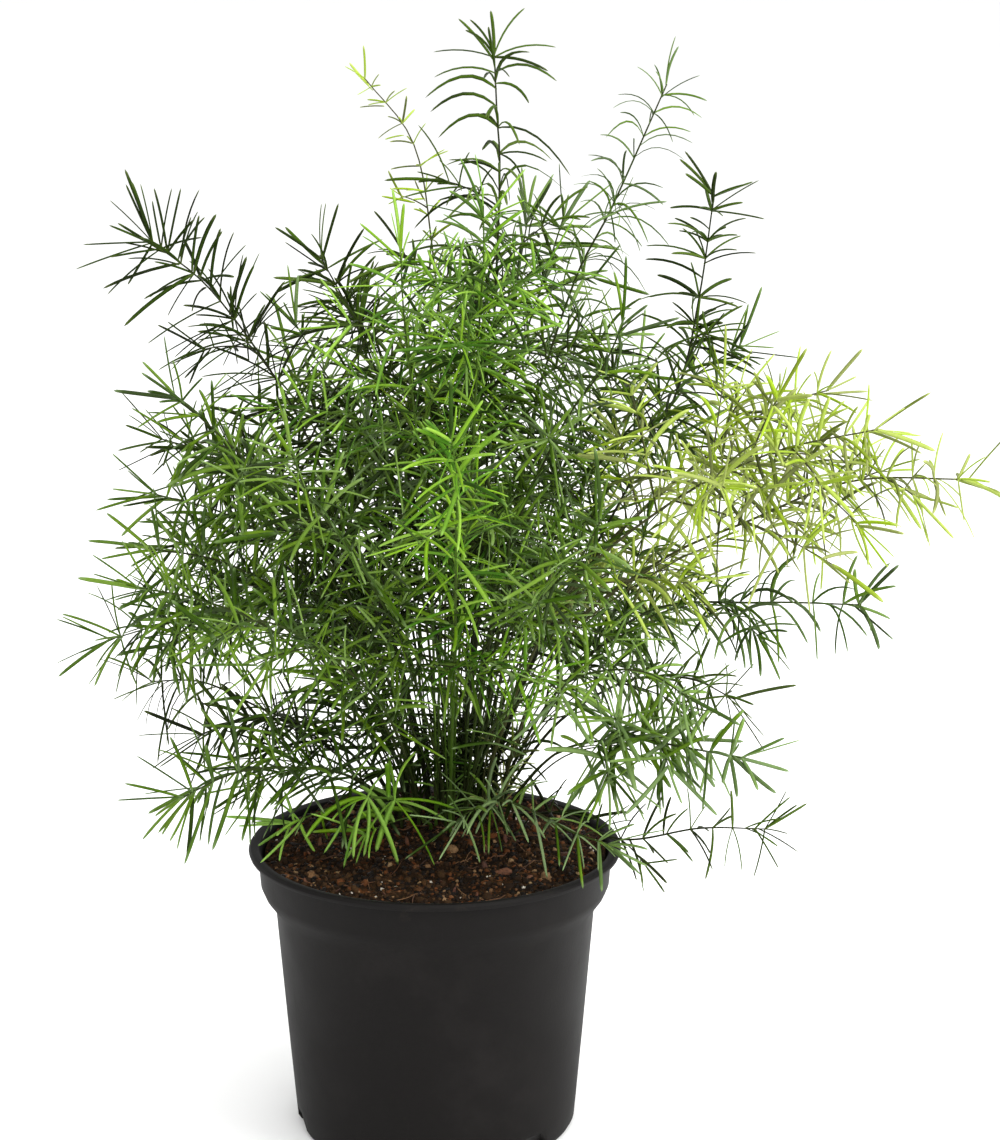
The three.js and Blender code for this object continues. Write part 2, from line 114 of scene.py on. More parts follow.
class Wire:
    # one socket of a material's nodes; sums on it add Math nodes
    def __init__(self, tree, socket):
        self.tree, self.socket = tree, socket

    def make(self, kind, settings, inputs, out=0):
        node = self.tree.nodes.new(kind)
        for name, value in settings.items():
            if name == "stops":
                ramp = node.color_ramp
                while len(ramp.elements) < len(value):
                    ramp.elements.new(0.5)
                for element, (position, colour) in zip(ramp.elements, value):
                    element.position, element.color = position, (*colour, 1)
            else:
                setattr(node, name, value)
        for key, value in inputs.items():
            setSocket(self.tree, node.inputs[key], value)
        return Wire(self.tree, node.outputs[out])

    def sum(self, operation, *values):
        return self.make("ShaderNodeMath", {"operation": operation}, dict(enumerate(values)))

    def __add__(self, other):
        return self.sum("ADD", self, other)

    def __rsub__(self, other):
        return self.sum("SUBTRACT", other, self)

    def __mul__(self, other):
        return self.sum("MULTIPLY", self, other)

    __radd__ = __add__
    __rmul__ = __mul__

    def fit(self, low, high):
        # a soft step from 0 at the low value to 1 at the high one
        inputs = {"Value": self, "From Min": low, "From Max": high}
        return self.make("ShaderNodeMapRange", {"interpolation_type": "SMOOTHSTEP"}, inputs)

    def mix(self, first, second):
        # self is how much of the second colour there is
        first, second = (c if isinstance(c, Wire) else (*c, 1) for c in (first, second))
        return self.make("ShaderNodeMix", {"data_type": "RGBA"}, {0: self, 6: first, 7: second}, 2)

    def ramp(self, *stops):
        return self.make("ShaderNodeValToRGB", {"stops": stops}, {"Fac": self})

    def noise(self, scale, detail=4.0, rough=0.55):
        inputs = {"Vector": self, "Scale": scale, "Detail": detail, "Roughness": rough}
        return self.make("ShaderNodeTexNoise", {}, inputs)

    def cells(self, scale):
        # each cell has a number of its own
        colour = self.make("ShaderNodeTexVoronoi", {}, {"Vector": self, "Scale": scale}, "Color")
        return colour.part(0)

    def part(self, number):
        return self.make("ShaderNodeSeparateColor", {}, {"Color": self}, number)

    def stretch(self, scale):
        return self.make("ShaderNodeMapping", {}, {"Vector": self, "Scale": scale})

    def bump(self, strength, distance):
        return self.make("ShaderNodeBump", {}, {"Height": self, "Strength": strength, "Distance": distance})

    def leafData(self):
        # how far along a blade, its own tone, and a third part: 1 on stems and twigs, up to 0.3 on blades as
        # their painted highlight
        colour = self.make("ShaderNodeAttribute", {"attribute_name": "leafData"}, {}, "Color")
        return [colour.part(i) for i in range(3)]


def setSocket(tree, socket, value):
    if isinstance(value, Wire):
        tree.links.new(value.socket, socket)
    else:
        socket.default_value = value


def newMaterial(name):
    material = bpy.data.materials.new(name)
    material.use_nodes = True
    tree = material.node_tree
    return material, Wire(tree, tree.nodes.new("ShaderNodeTexCoord").outputs["Object"])


def finish(material, **sockets):
    # wires or values for the sockets of the material's shader
    names = {"colour": "Base Color", "rough": "Roughness", "gloss": "Specular IOR Level", "normal": "Normal"}
    tree = material.node_tree
    for key, value in sockets.items():
        setSocket(tree, tree.nodes["Principled BSDF"].inputs[names[key]], value)
    return material


def paleFloor():
    material, place = newMaterial("palePaper")
    colour = place.noise(3.0, 2.0).mix(studioValues["floorColour"], studioValues["floorGrain"])
    return finish(material, colour=colour, rough=0.9, gloss=0.1)


potFinish = {
    "dark": (0.0072, 0.0064, 0.0061), "scuffed": (0.0135, 0.0120, 0.0115), "dust": (0.05, 0.038, 0.028),
    "dustFrom": 0.088, "rough": 0.52, "gloss": 0.08, "grainScale": 900.0,
}


def blackPlastic():
    # moulded black plastic: a fine pebbled grain, faint scuffs, and peat dust towards the rim
    v = potFinish
    material, place = newMaterial("blackPlastic")
    height = place.make("ShaderNodeSeparateXYZ", {}, {"Vector": place}, 2)
    grain = place.noise(v["grainScale"], 2.0)
    cloud = place.noise(22.0, 5.0, 0.6)
    scratches = place.stretch((260.0, 260.0, 14.0)).noise(1.0, 4.0, 0.7).fit(0.60, 0.76)
    scuffs = cloud.fit(0.5, 0.72) * 0.55 + scratches * 0.3
    rim = height.fit(v["dustFrom"], potValues["lipTop"] * mm)
    dust = place.noise(70.0, 6.0, 0.7).fit(0.56, 0.78) * rim * 0.3
    colour = dust.mix(scuffs.mix(v["dark"], v["scuffed"]), v["dust"])
    rough = v["rough"] + cloud.fit(0.3, 0.75) * 0.1 + dust * 0.3 + scratches * 0.08
    return finish(material, colour=colour, rough=rough, gloss=v["gloss"], normal=grain.bump(0.16, 0.0002))


soilFinish = {
    "black": (0.0065, 0.0038, 0.0024), "brown": (0.031, 0.0150, 0.0058), "light": (0.070, 0.034, 0.012),
    # the tan colour is for tan grains, and it also stands in for painted glints on the soil
    "rust": (0.150, 0.048, 0.014), "tanAndGlint": (0.34, 0.22, 0.11),
    "redBark": (0.095, 0.027, 0.011), "paleBark": (0.19, 0.072, 0.028),
    "perlite": (0.80, 0.76, 0.69), "perlitePores": (0.42, 0.35, 0.27),
    "fibreStain": (0.02, 0.01, 0.006),
    "fibres": ((0.0, (0.045, 0.018, 0.008)), (0.6, (0.16, 0.062, 0.022)), (1.0, (0.20, 0.10, 0.04))),
}


def darkPeat():
    v = soilFinish
    material, place = newMaterial("darkPeat")
    clods = place.noise(150.0, 8.0, 0.72)
    patches = place.noise(38.0, 4.0, 0.6)
    specks = place.cells(620.0)
    # the tan at the top of the ramp also stands in for painted glints
    base = clods.ramp((0.38, v["black"]), (0.54, v["brown"]), (0.72, v["rust"]), (0.88, v["tanAndGlint"]))
    colour = (patches.fit(0.42, 0.66) * 0.7).mix(base, v["black"])
    colour = (specks.fit(0.93, 0.97) * 0.7).mix(colour, v["rust"])
    height = clods + place.noise(700.0, 4.0, 0.7) * 0.5
    return finish(material, colour=colour, rough=0.93, gloss=0.1, normal=height.bump(0.9, 0.0012))


def peatCrumb():
    v = soilFinish
    material, place = newMaterial("peatCrumb")
    tone = place.leafData()[1]
    grit = place.noise(900.0, 5.0, 0.7)
    # the crumbs at the tan end of the ramp also stand in for painted glints
    stops = ((0.30, "black"), (0.55, "brown"), (0.84, "light"), (0.93, "rust"), (1.0, "tanAndGlint"))
    base = tone.ramp(*[(position, v[colour]) for position, colour in stops])
    colour = (grit.fit(0.35, 0.7) * 0.45).mix(base, v["black"])
    rough = 0.8 - tone.fit(0.35, 0.0) * 0.42
    return finish(material, colour=colour, rough=rough, gloss=0.15, normal=grit.bump(0.8, 0.0006))


def barkChip():
    # flakes of reddish bark with the lines of their fibres
    v = soilFinish
    material, place = newMaterial("barkChip")
    tone = place.leafData()[1]
    grain = place.stretch((900.0, 500.0, 900.0)).noise(1.0, 5.0, 0.7)
    base = tone.ramp((0.0, v["brown"]), (0.5, v["redBark"]), (1.0, v["paleBark"]))
    colour = (grain.fit(0.4, 0.7) * 0.7).mix(base, v["black"])
    return finish(material, colour=colour, rough=0.8, normal=grain.bump(0.7, 0.0004))


def perliteGrain():
    material, place = newMaterial("perliteGrain")
    pores = place.noise(1400.0, 4.0, 0.7)
    colour = pores.fit(0.35, 0.7).mix(soilFinish["perlitePores"], soilFinish["perlite"])
    return finish(material, colour=colour, rough=0.85, normal=pores.bump(0.7, 0.0004))


def rootFibre():
    material, place = newMaterial("rootFibre")
    base = place.leafData()[1].ramp(*soilFinish["fibres"])
    stain = place.noise(500.0, 4.0, 0.6)
    colour = (stain.fit(0.4, 0.7) * 0.5).mix(base, soilFinish["fibreStain"])
    return finish(material, colour=colour, rough=0.8, normal=stain.bump(0.5, 0.0003))


# the greens of the blades, from the darkest to the youngest, of their tips, which is also the colour of
# their painted highlight, and of green and woody stems
greens = {
    "mid": {
        "old": (0.012, 0.025, 0.002), "deep": (0.034, 0.080, 0.002), "fresh": (0.125, 0.225, 0.010),
        "tip": (0.24, 0.34, 0.15), "stem": (0.030, 0.050, 0.009), "woody": (0.030, 0.030, 0.014),
    },
    "dark": {
        "old": (0.008, 0.012, 0.003), "deep": (0.017, 0.034, 0.003), "fresh": (0.054, 0.110, 0.005),
        "tip": (0.12, 0.16, 0.04), "stem": (0.018, 0.025, 0.009), "woody": (0.022, 0.021, 0.012),
    },
    "bright": {
        "old": (0.014, 0.034, 0.003), "deep": (0.047, 0.150, 0.006), "fresh": (0.200, 0.370, 0.014),
        "tip": (0.30, 0.50, 0.11), "stem": (0.055, 0.110, 0.012), "woody": (0.045, 0.055, 0.018),
    },
    "yellow": {
        "old": (0.045, 0.056, 0.016), "deep": (0.155, 0.225, 0.008), "fresh": (0.32, 0.48, 0.016),
        "tip": (0.57, 0.65, 0.21), "stem": (0.055, 0.062, 0.020), "woody": (0.06, 0.055, 0.028),
    },
}


def leafGreen(green):
    # waxy blades: each its own green, paler at the base and the tip, some with a painted highlight, a
    # whitish sheen, and with a fine mottle
    v = greens[green]
    material, place = newMaterial(f"foliage_{green}_green")
    along, tone, woodAndSheen = place.leafData()
    cloud = place.noise(42.0, 3.0)
    mottle = place.noise(620.0, 4.0, 0.6)
    mood = tone * 0.8 + cloud.fit(0.35, 0.68) * 0.2
    colour = mood.ramp((0.14, v["old"]), (0.44, v["deep"]), (0.80, v["fresh"]))
    colour = (along.fit(0.82, 1.0) * 0.5 + tone.fit(0.8, 1.0) * 0.35).mix(colour, v["tip"])
    colour = (along.fit(0.16, 0.0) * 0.45).mix(colour, v["tip"])
    # painted highlight: a whitish sheen, made by mixing some blades towards the tip colour
    colour = (woodAndSheen.fit(0.0, 0.3) * 0.8).mix(colour, v["tip"])
    colour = (mottle.fit(0.5, 0.75) * 0.28).mix(colour, v["deep"])
    bark = (cloud.fit(0.4, 0.6) * 0.6).mix(v["stem"], v["woody"])
    colour = woodAndSheen.fit(0.4, 0.6).mix(colour, bark)
    rough = 0.44 + mottle.fit(0.3, 0.75) * 0.16 + woodAndSheen * 0.1
    return finish(material, colour=colour, rough=rough, gloss=0.05, normal=mottle.bump(0.25, 0.0002))


# a store of many small shapes that becomes one mesh; each shape has a cell of the map to itself

class Store:
    def __init__(self):
        self.verts, self.loops, self.sizes, self.maps, self.tones = [], [], [], [], []
        self.count, self.cells = 0, 0

    def add(self, copies, faces, patch, tones):
        # copies of one shape (n, v, 3), its faces, its own map, and the copies' tones (n, v, 3)
        number, size = copies.shape[:2]
        corners = np.concatenate([np.asarray(f) for f in faces])
        shift = self.count + size * np.arange(number)
        cell = self.cells + np.repeat(np.arange(number), len(corners))
        self.verts.append(copies.reshape(-1, 3))
        self.tones.append(tones.reshape(-1, 3))
        self.loops.append((corners[None] + shift[:, None]).ravel())
        self.sizes.append(np.tile([len(f) for f in faces], number))
        self.maps.append(np.column_stack([np.tile(patch, (number, 1)), cell]))
        self.count += number * size
        self.cells += number

    def build(self, name, material, slot):
        mesh = bpy.data.meshes.new(name)
        verts, loops, sizes, spots, tones = map(
            np.concatenate, (self.verts, self.loops, self.sizes, self.maps, self.tones))
        mesh.vertices.add(len(verts))
        mesh.vertices.foreach_set("co", verts.ravel())
        mesh.loops.add(len(loops))
        mesh.loops.foreach_set("vertex_index", loops)
        mesh.polygons.add(len(sizes))
        mesh.polygons.foreach_set("loop_start", np.concatenate([[0], np.cumsum(sizes)[:-1]]))
        mesh.polygons.foreach_set("use_smooth", np.ones(len(sizes), bool))
        mesh.update(calc_edges=True)
        columns = math.ceil(math.sqrt(self.cells * 2))
        rows = math.ceil(self.cells / columns)
        across = (spots[:, 2] % columns + 0.08 + 0.84 * spots[:, 0]) / columns
        up = (spots[:, 2] // columns + 0.05 + 0.9 * spots[:, 1]) / rows
        mesh.uv_layers.new(name="OFBake").uv.foreach_set("vector", np.column_stack([across, up]).ravel())
        shade = mesh.color_attributes.new(name="leafData", type="FLOAT_COLOR", domain="POINT")
        shade.data.foreach_set("color", np.column_stack([tones, np.ones(len(verts))]).ravel())
        mesh.materials.append(material)
        piece = bpy.data.objects.new(name, mesh)
        bpy.context.scene.collection.objects.link(piece)
        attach(piece, "root")
        return piece


def tubeFaces(rings, sides):
    # the faces of a closed tube, with a map that goes round and along it
    faces, patch = [], []
    for r in range(rings - 1):
        low, high = r / (rings - 1), (r + 1) / (rings - 1)
        for s in range(sides):
            t = (s + 1) % sides
            faces.append([r * sides + s, r * sides + t, (r + 1) * sides + t, (r + 1) * sides + s])
            patch += [(s / sides, low), ((s + 1) / sides, low), ((s + 1) / sides, high), (s / sides, high)]
    faces.append(list(range(sides))[::-1])
    faces.append([(rings - 1) * sides + s for s in range(sides)])
    patch += [(s / sides, 0.0) for s in range(sides)][::-1] + [(s / sides, 1.0) for s in range(sides)]
    return faces, np.array(patch)


def addTube(store, path, radii, sides, tone):
    path = np.asarray(path, float)
    along = unit(np.gradient(path, axis=0))
    side = np.cross(along[0], (0.31, 0.95, 0.05))
    turns = (np.arange(sides) * 2 * math.pi / sides)[:, None]
    rings = []
    for place, axis, radius in zip(path, along, radii):
        side = unit(side - axis * (side @ axis))
        rings.append(place + radius * (np.cos(turns) * side + np.sin(turns) * np.cross(axis, side)))
    faces, patch = tubeFaces(len(path), sides)
    tones = np.ones((len(path) * sides, 3))
    tones[:, 0] = np.repeat(np.linspace(0, 1, len(path)), sides)
    tones[:, 1] = tone
    store.add(np.concatenate(rings)[None] * mm, faces, patch, tones[None])


def unit(v):
    return v / np.linalg.norm(v, axis=-1, keepdims=True)


# modelling by hand, for the pot, the soil and the small shapes

def selectPlaces(piece, test, mode="VERT"):
    # selects in edit mode the corners, or the edges by their two ends, that pass a test
    bpy.ops.mesh.select_mode(type=mode)
    bpy.ops.mesh.select_all(action="DESELECT")
    work = bmesh.from_edit_mesh(piece.data)
    for part in work.verts if mode == "VERT" else work.edges:
        ends = [part] if mode == "VERT" else part.verts
        part.select_set(test(*[end.co for end in ends]))
    work.select_flush_mode()
    bmesh.update_edit_mesh(piece.data)


def startShell(name, profile, sides):
    # a ring that is extruded through the radii and heights of a profile and closed with a face
    radius, height = profile[0]
    bpy.ops.mesh.primitive_circle_add(vertices=sides, radius=radius * mm)
    piece = bpy.context.object
    piece.name = name
    bpy.ops.object.mode_set(mode="EDIT")
    bpy.ops.mesh.select_all(action="SELECT")
    bpy.ops.transform.translate(value=(0, 0, height * mm))
    for newRadius, newHeight in profile[1:]:
        bpy.ops.mesh.extrude_region_move(
            TRANSFORM_OT_translate={"value": (0, 0, (newHeight - height) * mm)})
        grow = newRadius / radius
        bpy.ops.transform.resize(value=(grow, grow, 1), center_override=(0, 0, 0))
        radius, height = newRadius, newHeight
    bpy.ops.mesh.edge_face_add()
    return piece


def closeShell(piece, test):
    # closes the ring that passes a test, and leaves edit mode
    selectPlaces(piece, test)
    bpy.ops.mesh.edge_face_add()
    faceOutwards()


def faceOutwards():
    # turns all faces outwards, and leaves edit mode
    bpy.ops.mesh.select_all(action="SELECT")
    bpy.ops.mesh.normals_make_consistent(inside=False)
    bpy.ops.object.mode_set(mode="OBJECT")


def smoothAndPaint(piece, degrees, material):
    bpy.ops.object.select_all(action="DESELECT")
    piece.select_set(True)
    bpy.ops.object.shade_smooth_by_angle(angle=math.radians(degrees))
    piece.data.materials.clear()
    piece.data.materials.append(material)


def takeShape(piece):
    # the places and faces of a piece, which is then removed
    places = np.array([piece.matrix_world @ vert.co for vert in piece.data.vertices])
    faces = [list(f.vertices) for f in piece.data.polygons]
    bpy.data.objects.remove(piece)
    return places, faces


# pot

potValues = {
    "lipRadius": 75.0, "lipTop": 118.0, "bandBottom": 102.0, "bandRadius": 70.3, "shoulderHeight": 93.0,
    "bodyRadius": 64.4, "baseRadius": 56.6, "wall": 1.3, "floorStep": 6.2, "centreDiscRadius": 40.0,
    "sides": 128, "edgeWidth": 0.35, "edgeAngle": 34, "smoothAngle": 38,
    "notchCount": 6, "notchTurn": -46.0, "notchWidth": 20.0, "notchShoulder": 0.86, "notchTopWidth": 8.0,
    "notchHeight": 8.3, "notchDepth": 6.0,
}


def modelNotch():
    # the bites out of the foot: a block with a narrower, set-back upper part, once for each notch
    v = potValues
    inner = v["baseRadius"] - v["notchDepth"]
    middle = (v["notchHeight"] - 2) / 2 * mm
    bpy.ops.mesh.primitive_cube_add(size=1)
    bite = bpy.context.object
    bpy.ops.object.mode_set(mode="EDIT")
    bpy.ops.transform.resize(value=(16 * mm, v["notchWidth"] * mm, (v["notchHeight"] + 2) * mm))
    bpy.ops.transform.translate(value=((inner + 6.5) * mm, 0, middle))
    selectPlaces(bite, lambda p, q: abs(p.z - q.z) > 5 * mm, "EDGE")
    bpy.ops.mesh.subdivide(number_cuts=1)
    selectPlaces(bite, lambda p: p.z > middle - mm)
    bpy.ops.transform.resize(value=(1, v["notchShoulder"], 1), center_override=(0, 0, 0))
    selectPlaces(bite, lambda p: p.z > middle + mm)
    narrow = v["notchTopWidth"] / (v["notchWidth"] * v["notchShoulder"])
    bpy.ops.transform.resize(value=(1, narrow, 1), center_override=(0, 0, 0))
    selectPlaces(bite, lambda p: p.z > middle + mm and p.x < inner * mm)
    bpy.ops.transform.translate(value=(7.3 * mm, 0, 0))
    selectPlaces(bite, lambda p: abs(p.z - middle) < mm and p.x < inner * mm)
    bpy.ops.transform.translate(value=(3.4 * mm, 0, 0))
    bpy.ops.mesh.select_all(action="SELECT")
    turn = math.radians(v["notchTurn"])
    for i in range(v["notchCount"]):
        if i:
            bpy.ops.mesh.duplicate()
            turn = math.tau / v["notchCount"]
        bpy.ops.transform.rotate(value=-turn, orient_axis="Z", center_override=(0, 0, 0))
    faceOutwards()
    return bite


def makePot():
    v = potValues
    lip, top, band, bandLow = v["lipRadius"], v["lipTop"], v["bandRadius"], v["bandBottom"]
    body, shoulder, base = v["bodyRadius"], v["shoulderHeight"], v["baseRadius"]
    wall, step, disc = v["wall"], v["floorStep"], v["centreDiscRadius"]
    profile = [
        # from the middle of the underside up the outside to the lip
        (disc, 0), (disc + 2, step), (50.6, step), (51.4, 0), (base - 1.4, 0), (base, 2.5), (57.4, 11.0),
        (60.4, 45.0), (body, shoulder), (band - 1.6, bandLow - 3.2), (band, bandLow + 0.6),
        (band + 0.9, top - 3.0), (lip - 0.5, top - 2.7), (lip, top - 1.3), (lip - 0.8, top - 0.05),
        # and down the inside
        (band + 2.6, top), (band + 0.6, top - 0.5), (band - 0.5, top - 2.4), (band - wall, bandLow + 0.3),
        (body - wall + 0.1, shoulder + 0.6), (base - wall + 0.3, step + 2.6), (base - 3, step + 1.5),
        (disc + 2.6, step + 1.5), (disc + 0.6, 1.5), (12.0, 1.5),
    ]
    pot = startShell("nurseryPot", profile, v["sides"])
    closeShell(pot, lambda p: abs(p.z) < 0.01 * mm and math.hypot(p.x, p.y) < (disc + 1) * mm)
    bite = modelNotch()
    bpy.context.view_layer.objects.active = pot
    cut = pot.modifiers.new("notches", "BOOLEAN")
    cut.operation, cut.object, cut.solver = "DIFFERENCE", bite, "EXACT"
    bpy.ops.object.modifier_apply(modifier="notches")
    bpy.data.objects.remove(bite)
    bevel = pot.modifiers.new("softEdges", "BEVEL")
    bevel.width, bevel.segments = v["edgeWidth"] * mm, 2
    bevel.limit_method, bevel.angle_limit = "ANGLE", math.radians(v["edgeAngle"])
    bpy.ops.object.modifier_apply(modifier="softEdges")
    smoothAndPaint(pot, v["smoothAngle"], blackPlastic())
    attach(pot, "root")
    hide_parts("pot")
    print("pot:", len(pot.data.polygons), "faces")


# soil

soilValues = {
    "edge": 114.0, "tilt": 3.5, "crownRise": 4.0, "crown": (6.0, 30.0), "crownSpread": 34.0,
    "radius": 68.7, "openRadius": 66.0, "sides": 144, "rings": 52, "smoothAngle": 60,
    # the number of each, its size, how much sizes differ, and how deep it sits; crumbs and clods are
    # made three times, each time from another shape
    "crumbs": (2200, 0.72, 0.4, 0.15), "clods": (150, 1.35, 0.3, 0.35),
    "chips": (46, 0.95, 0.4, -0.1), "perlite": (64, 0.5, 0.35, -0.1), "chipShape": (2.3, 1.0, 0.42),
    "fibres": 46, "fibreRadii": (0.12, 0.26, 0.08),
}


def moundHeight(x, y):
    # the soil without its lumps: higher at the back, and at the crown of the plant
    v = soilValues
    reach = ((x - v["crown"][0]) ** 2 + (y - v["crown"][1]) ** 2) / v["crownSpread"] ** 2
    return v["edge"] + v["tilt"] * y / potValues["lipRadius"] + v["crownRise"] * np.exp(-reach)


def soilHeight(x, y):
    lumps = 0.9 * math.sin(x / 7.1 + 1.3) * math.cos(y / 8.3) + 0.6 * math.sin(y / 4.7 + x / 11)
    return float(moundHeight(x, y)) + lumps


def crumbHeight(x, y):
    # the soil's height with its clods and grit
    clods = noise.noise(Vector((x / 5.5, y / 5.5, 0.3))) * 1.3
    grit = noise.noise(Vector((x / 1.9, y / 1.9, 7.1))) * 0.8 + noise.noise(Vector((x, y, 3.7))) * 0.35
    return soilHeight(x, y) + clods + grit


def makeSoilBed():
    v = soilValues
    profile = [(39.0, 1.9), (52.9, 8.1), (55.0, 9.1), (62.8, 94.2), (68.6, 103.5), (v["radius"], 106.0)]
    soil = startShell("soilBed", profile, v["sides"])
    step = (v["radius"] - 1.0) / v["rings"] * mm
    for _ in range(v["rings"]):
        bpy.ops.mesh.inset(thickness=step, use_even_offset=False)
    closeShell(soil, lambda p: p.z < 2.0 * mm)
    for vert in soil.data.vertices:
        if vert.co.z > 105.5 * mm:
            vert.co.z = crumbHeight(vert.co.x / mm, vert.co.y / mm) * mm
    smoothAndPaint(soil, v["smoothAngle"], darkPeat())
    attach(soil, "root")
    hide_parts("soil")
    print("soil bed:", len(soil.data.polygons), "faces")


def facetedStone(level, seed, rugged):
    # a ball of facets, pulled about into a crumb
    bpy.ops.mesh.primitive_ico_sphere_add(subdivisions=level, radius=1.0)
    stone = bpy.context.object
    bpy.ops.object.mode_set(mode="EDIT")
    bpy.ops.mesh.select_all(action="SELECT")
    bpy.ops.transform.vertex_random(offset=rugged, uniform=0.4, normal=0.6, seed=seed)
    bpy.ops.object.mode_set(mode="OBJECT")
    return takeShape(stone)


def scatter(store, rng, template, number, size, spread, sink, shape=(1, 1, 1)):
    # strews turned copies of a shape over the soil, and leaves out what would run into the pot's wall
    places, faces = template[0] * shape, template[1]
    patch = np.array([(0.5 + places[i, 0] * 0.4, 0.5 + places[i, 1] * 0.4) for f in faces for i in f])
    reach = (soilValues["radius"] - 1.5) * rng.random(number) ** 0.5
    turn = rng.random(number) * math.tau
    sizes = size * np.exp(spread * rng.standard_normal(number)).clip(0.4, 2.4)
    x, y = reach * np.cos(turn), reach * np.sin(turn)
    z = np.array([crumbHeight(a, b) for a, b in zip(x, y)]) - sizes * sink
    copies = np.empty((number, len(places), 3))
    for i in range(number):
        w, a, b, c = unit(rng.standard_normal(4))
        turned = np.array([
            [1 - 2 * (b * b + c * c), 2 * (a * b - c * w), 2 * (a * c + b * w)],
            [2 * (a * b + c * w), 1 - 2 * (a * a + c * c), 2 * (b * c - a * w)],
            [2 * (a * c - b * w), 2 * (b * c + a * w), 1 - 2 * (a * a + b * b)],
        ])
        squash = sizes[i] * (0.65 + 0.5 * rng.random(3))
        copies[i] = (places * squash) @ turned.T + (x[i], y[i], z[i])
    far = np.hypot(copies[..., 0], copies[..., 1]).max(axis=1)
    lowest = copies[..., 2].min(axis=1)
    kept = copies[(far < soilValues["radius"] - 0.2) | (lowest > potValues["lipTop"] - 2)]
    tones = np.zeros((len(kept), len(places), 3))
    tones[..., 1] = rng.random(len(kept))[:, None]
    store.add(kept * mm, faces, np.clip(patch, 0, 1), tones)


def addFibre(store, rng):
    # a short root fibre that wanders over the crumbs
    reach, turn = 62 * rng.random() ** 0.5, rng.random() * math.tau
    x, y, heading = reach * math.cos(turn), reach * math.sin(turn), rng.random() * math.tau
    path = []
    for _ in range(9):
        path.append((x, y, crumbHeight(x, y) + 0.35 + 0.5 * rng.random()))
        heading += 0.5 * (rng.random() - 0.5)
        step = 1.0 + 1.3 * rng.random()
        x, y = x + step * math.cos(heading), y + step * math.sin(heading)
        if math.hypot(x, y) > soilValues["openRadius"]:
            break
    if len(path) > 3:
        radii = np.interp(np.linspace(0, 1, len(path)), [0, 0.3, 1], soilValues["fibreRadii"])
        addTube(store, path, radii * (0.6 + rng.random()), 4, rng.random())


def makeSoilCrumbs():
    v = soilValues
    rng = np.random.default_rng(41)
    crumbs, chips, perlite, fibres = Store(), Store(), Store(), Store()
    for seed in range(3):
        scatter(crumbs, rng, facetedStone(1, seed, 0.35), *v["crumbs"])
        scatter(crumbs, rng, facetedStone(2, seed + 5, 0.3), *v["clods"])
    scatter(chips, rng, facetedStone(2, 12, 0.25), *v["chips"], v["chipShape"])
    scatter(perlite, rng, facetedStone(2, 9, 0.4), *v["perlite"])
    for _ in range(v["fibres"]):
        addFibre(fibres, rng)
    crumbs.build("soilCrumbs", peatCrumb(), "potting_soil")
    chips.build("barkChips", barkChip(), "potting_soil")
    perlite.build("perliteGrains", perliteGrain(), "potting_soil")
    fibres.build("rootFibres", rootFibre(), "potting_soil")
    print("soil crumbs:", crumbs.count, "points")


# stems: the green, the size, where it stands in the soil, and the points of its route to its tip, in mm

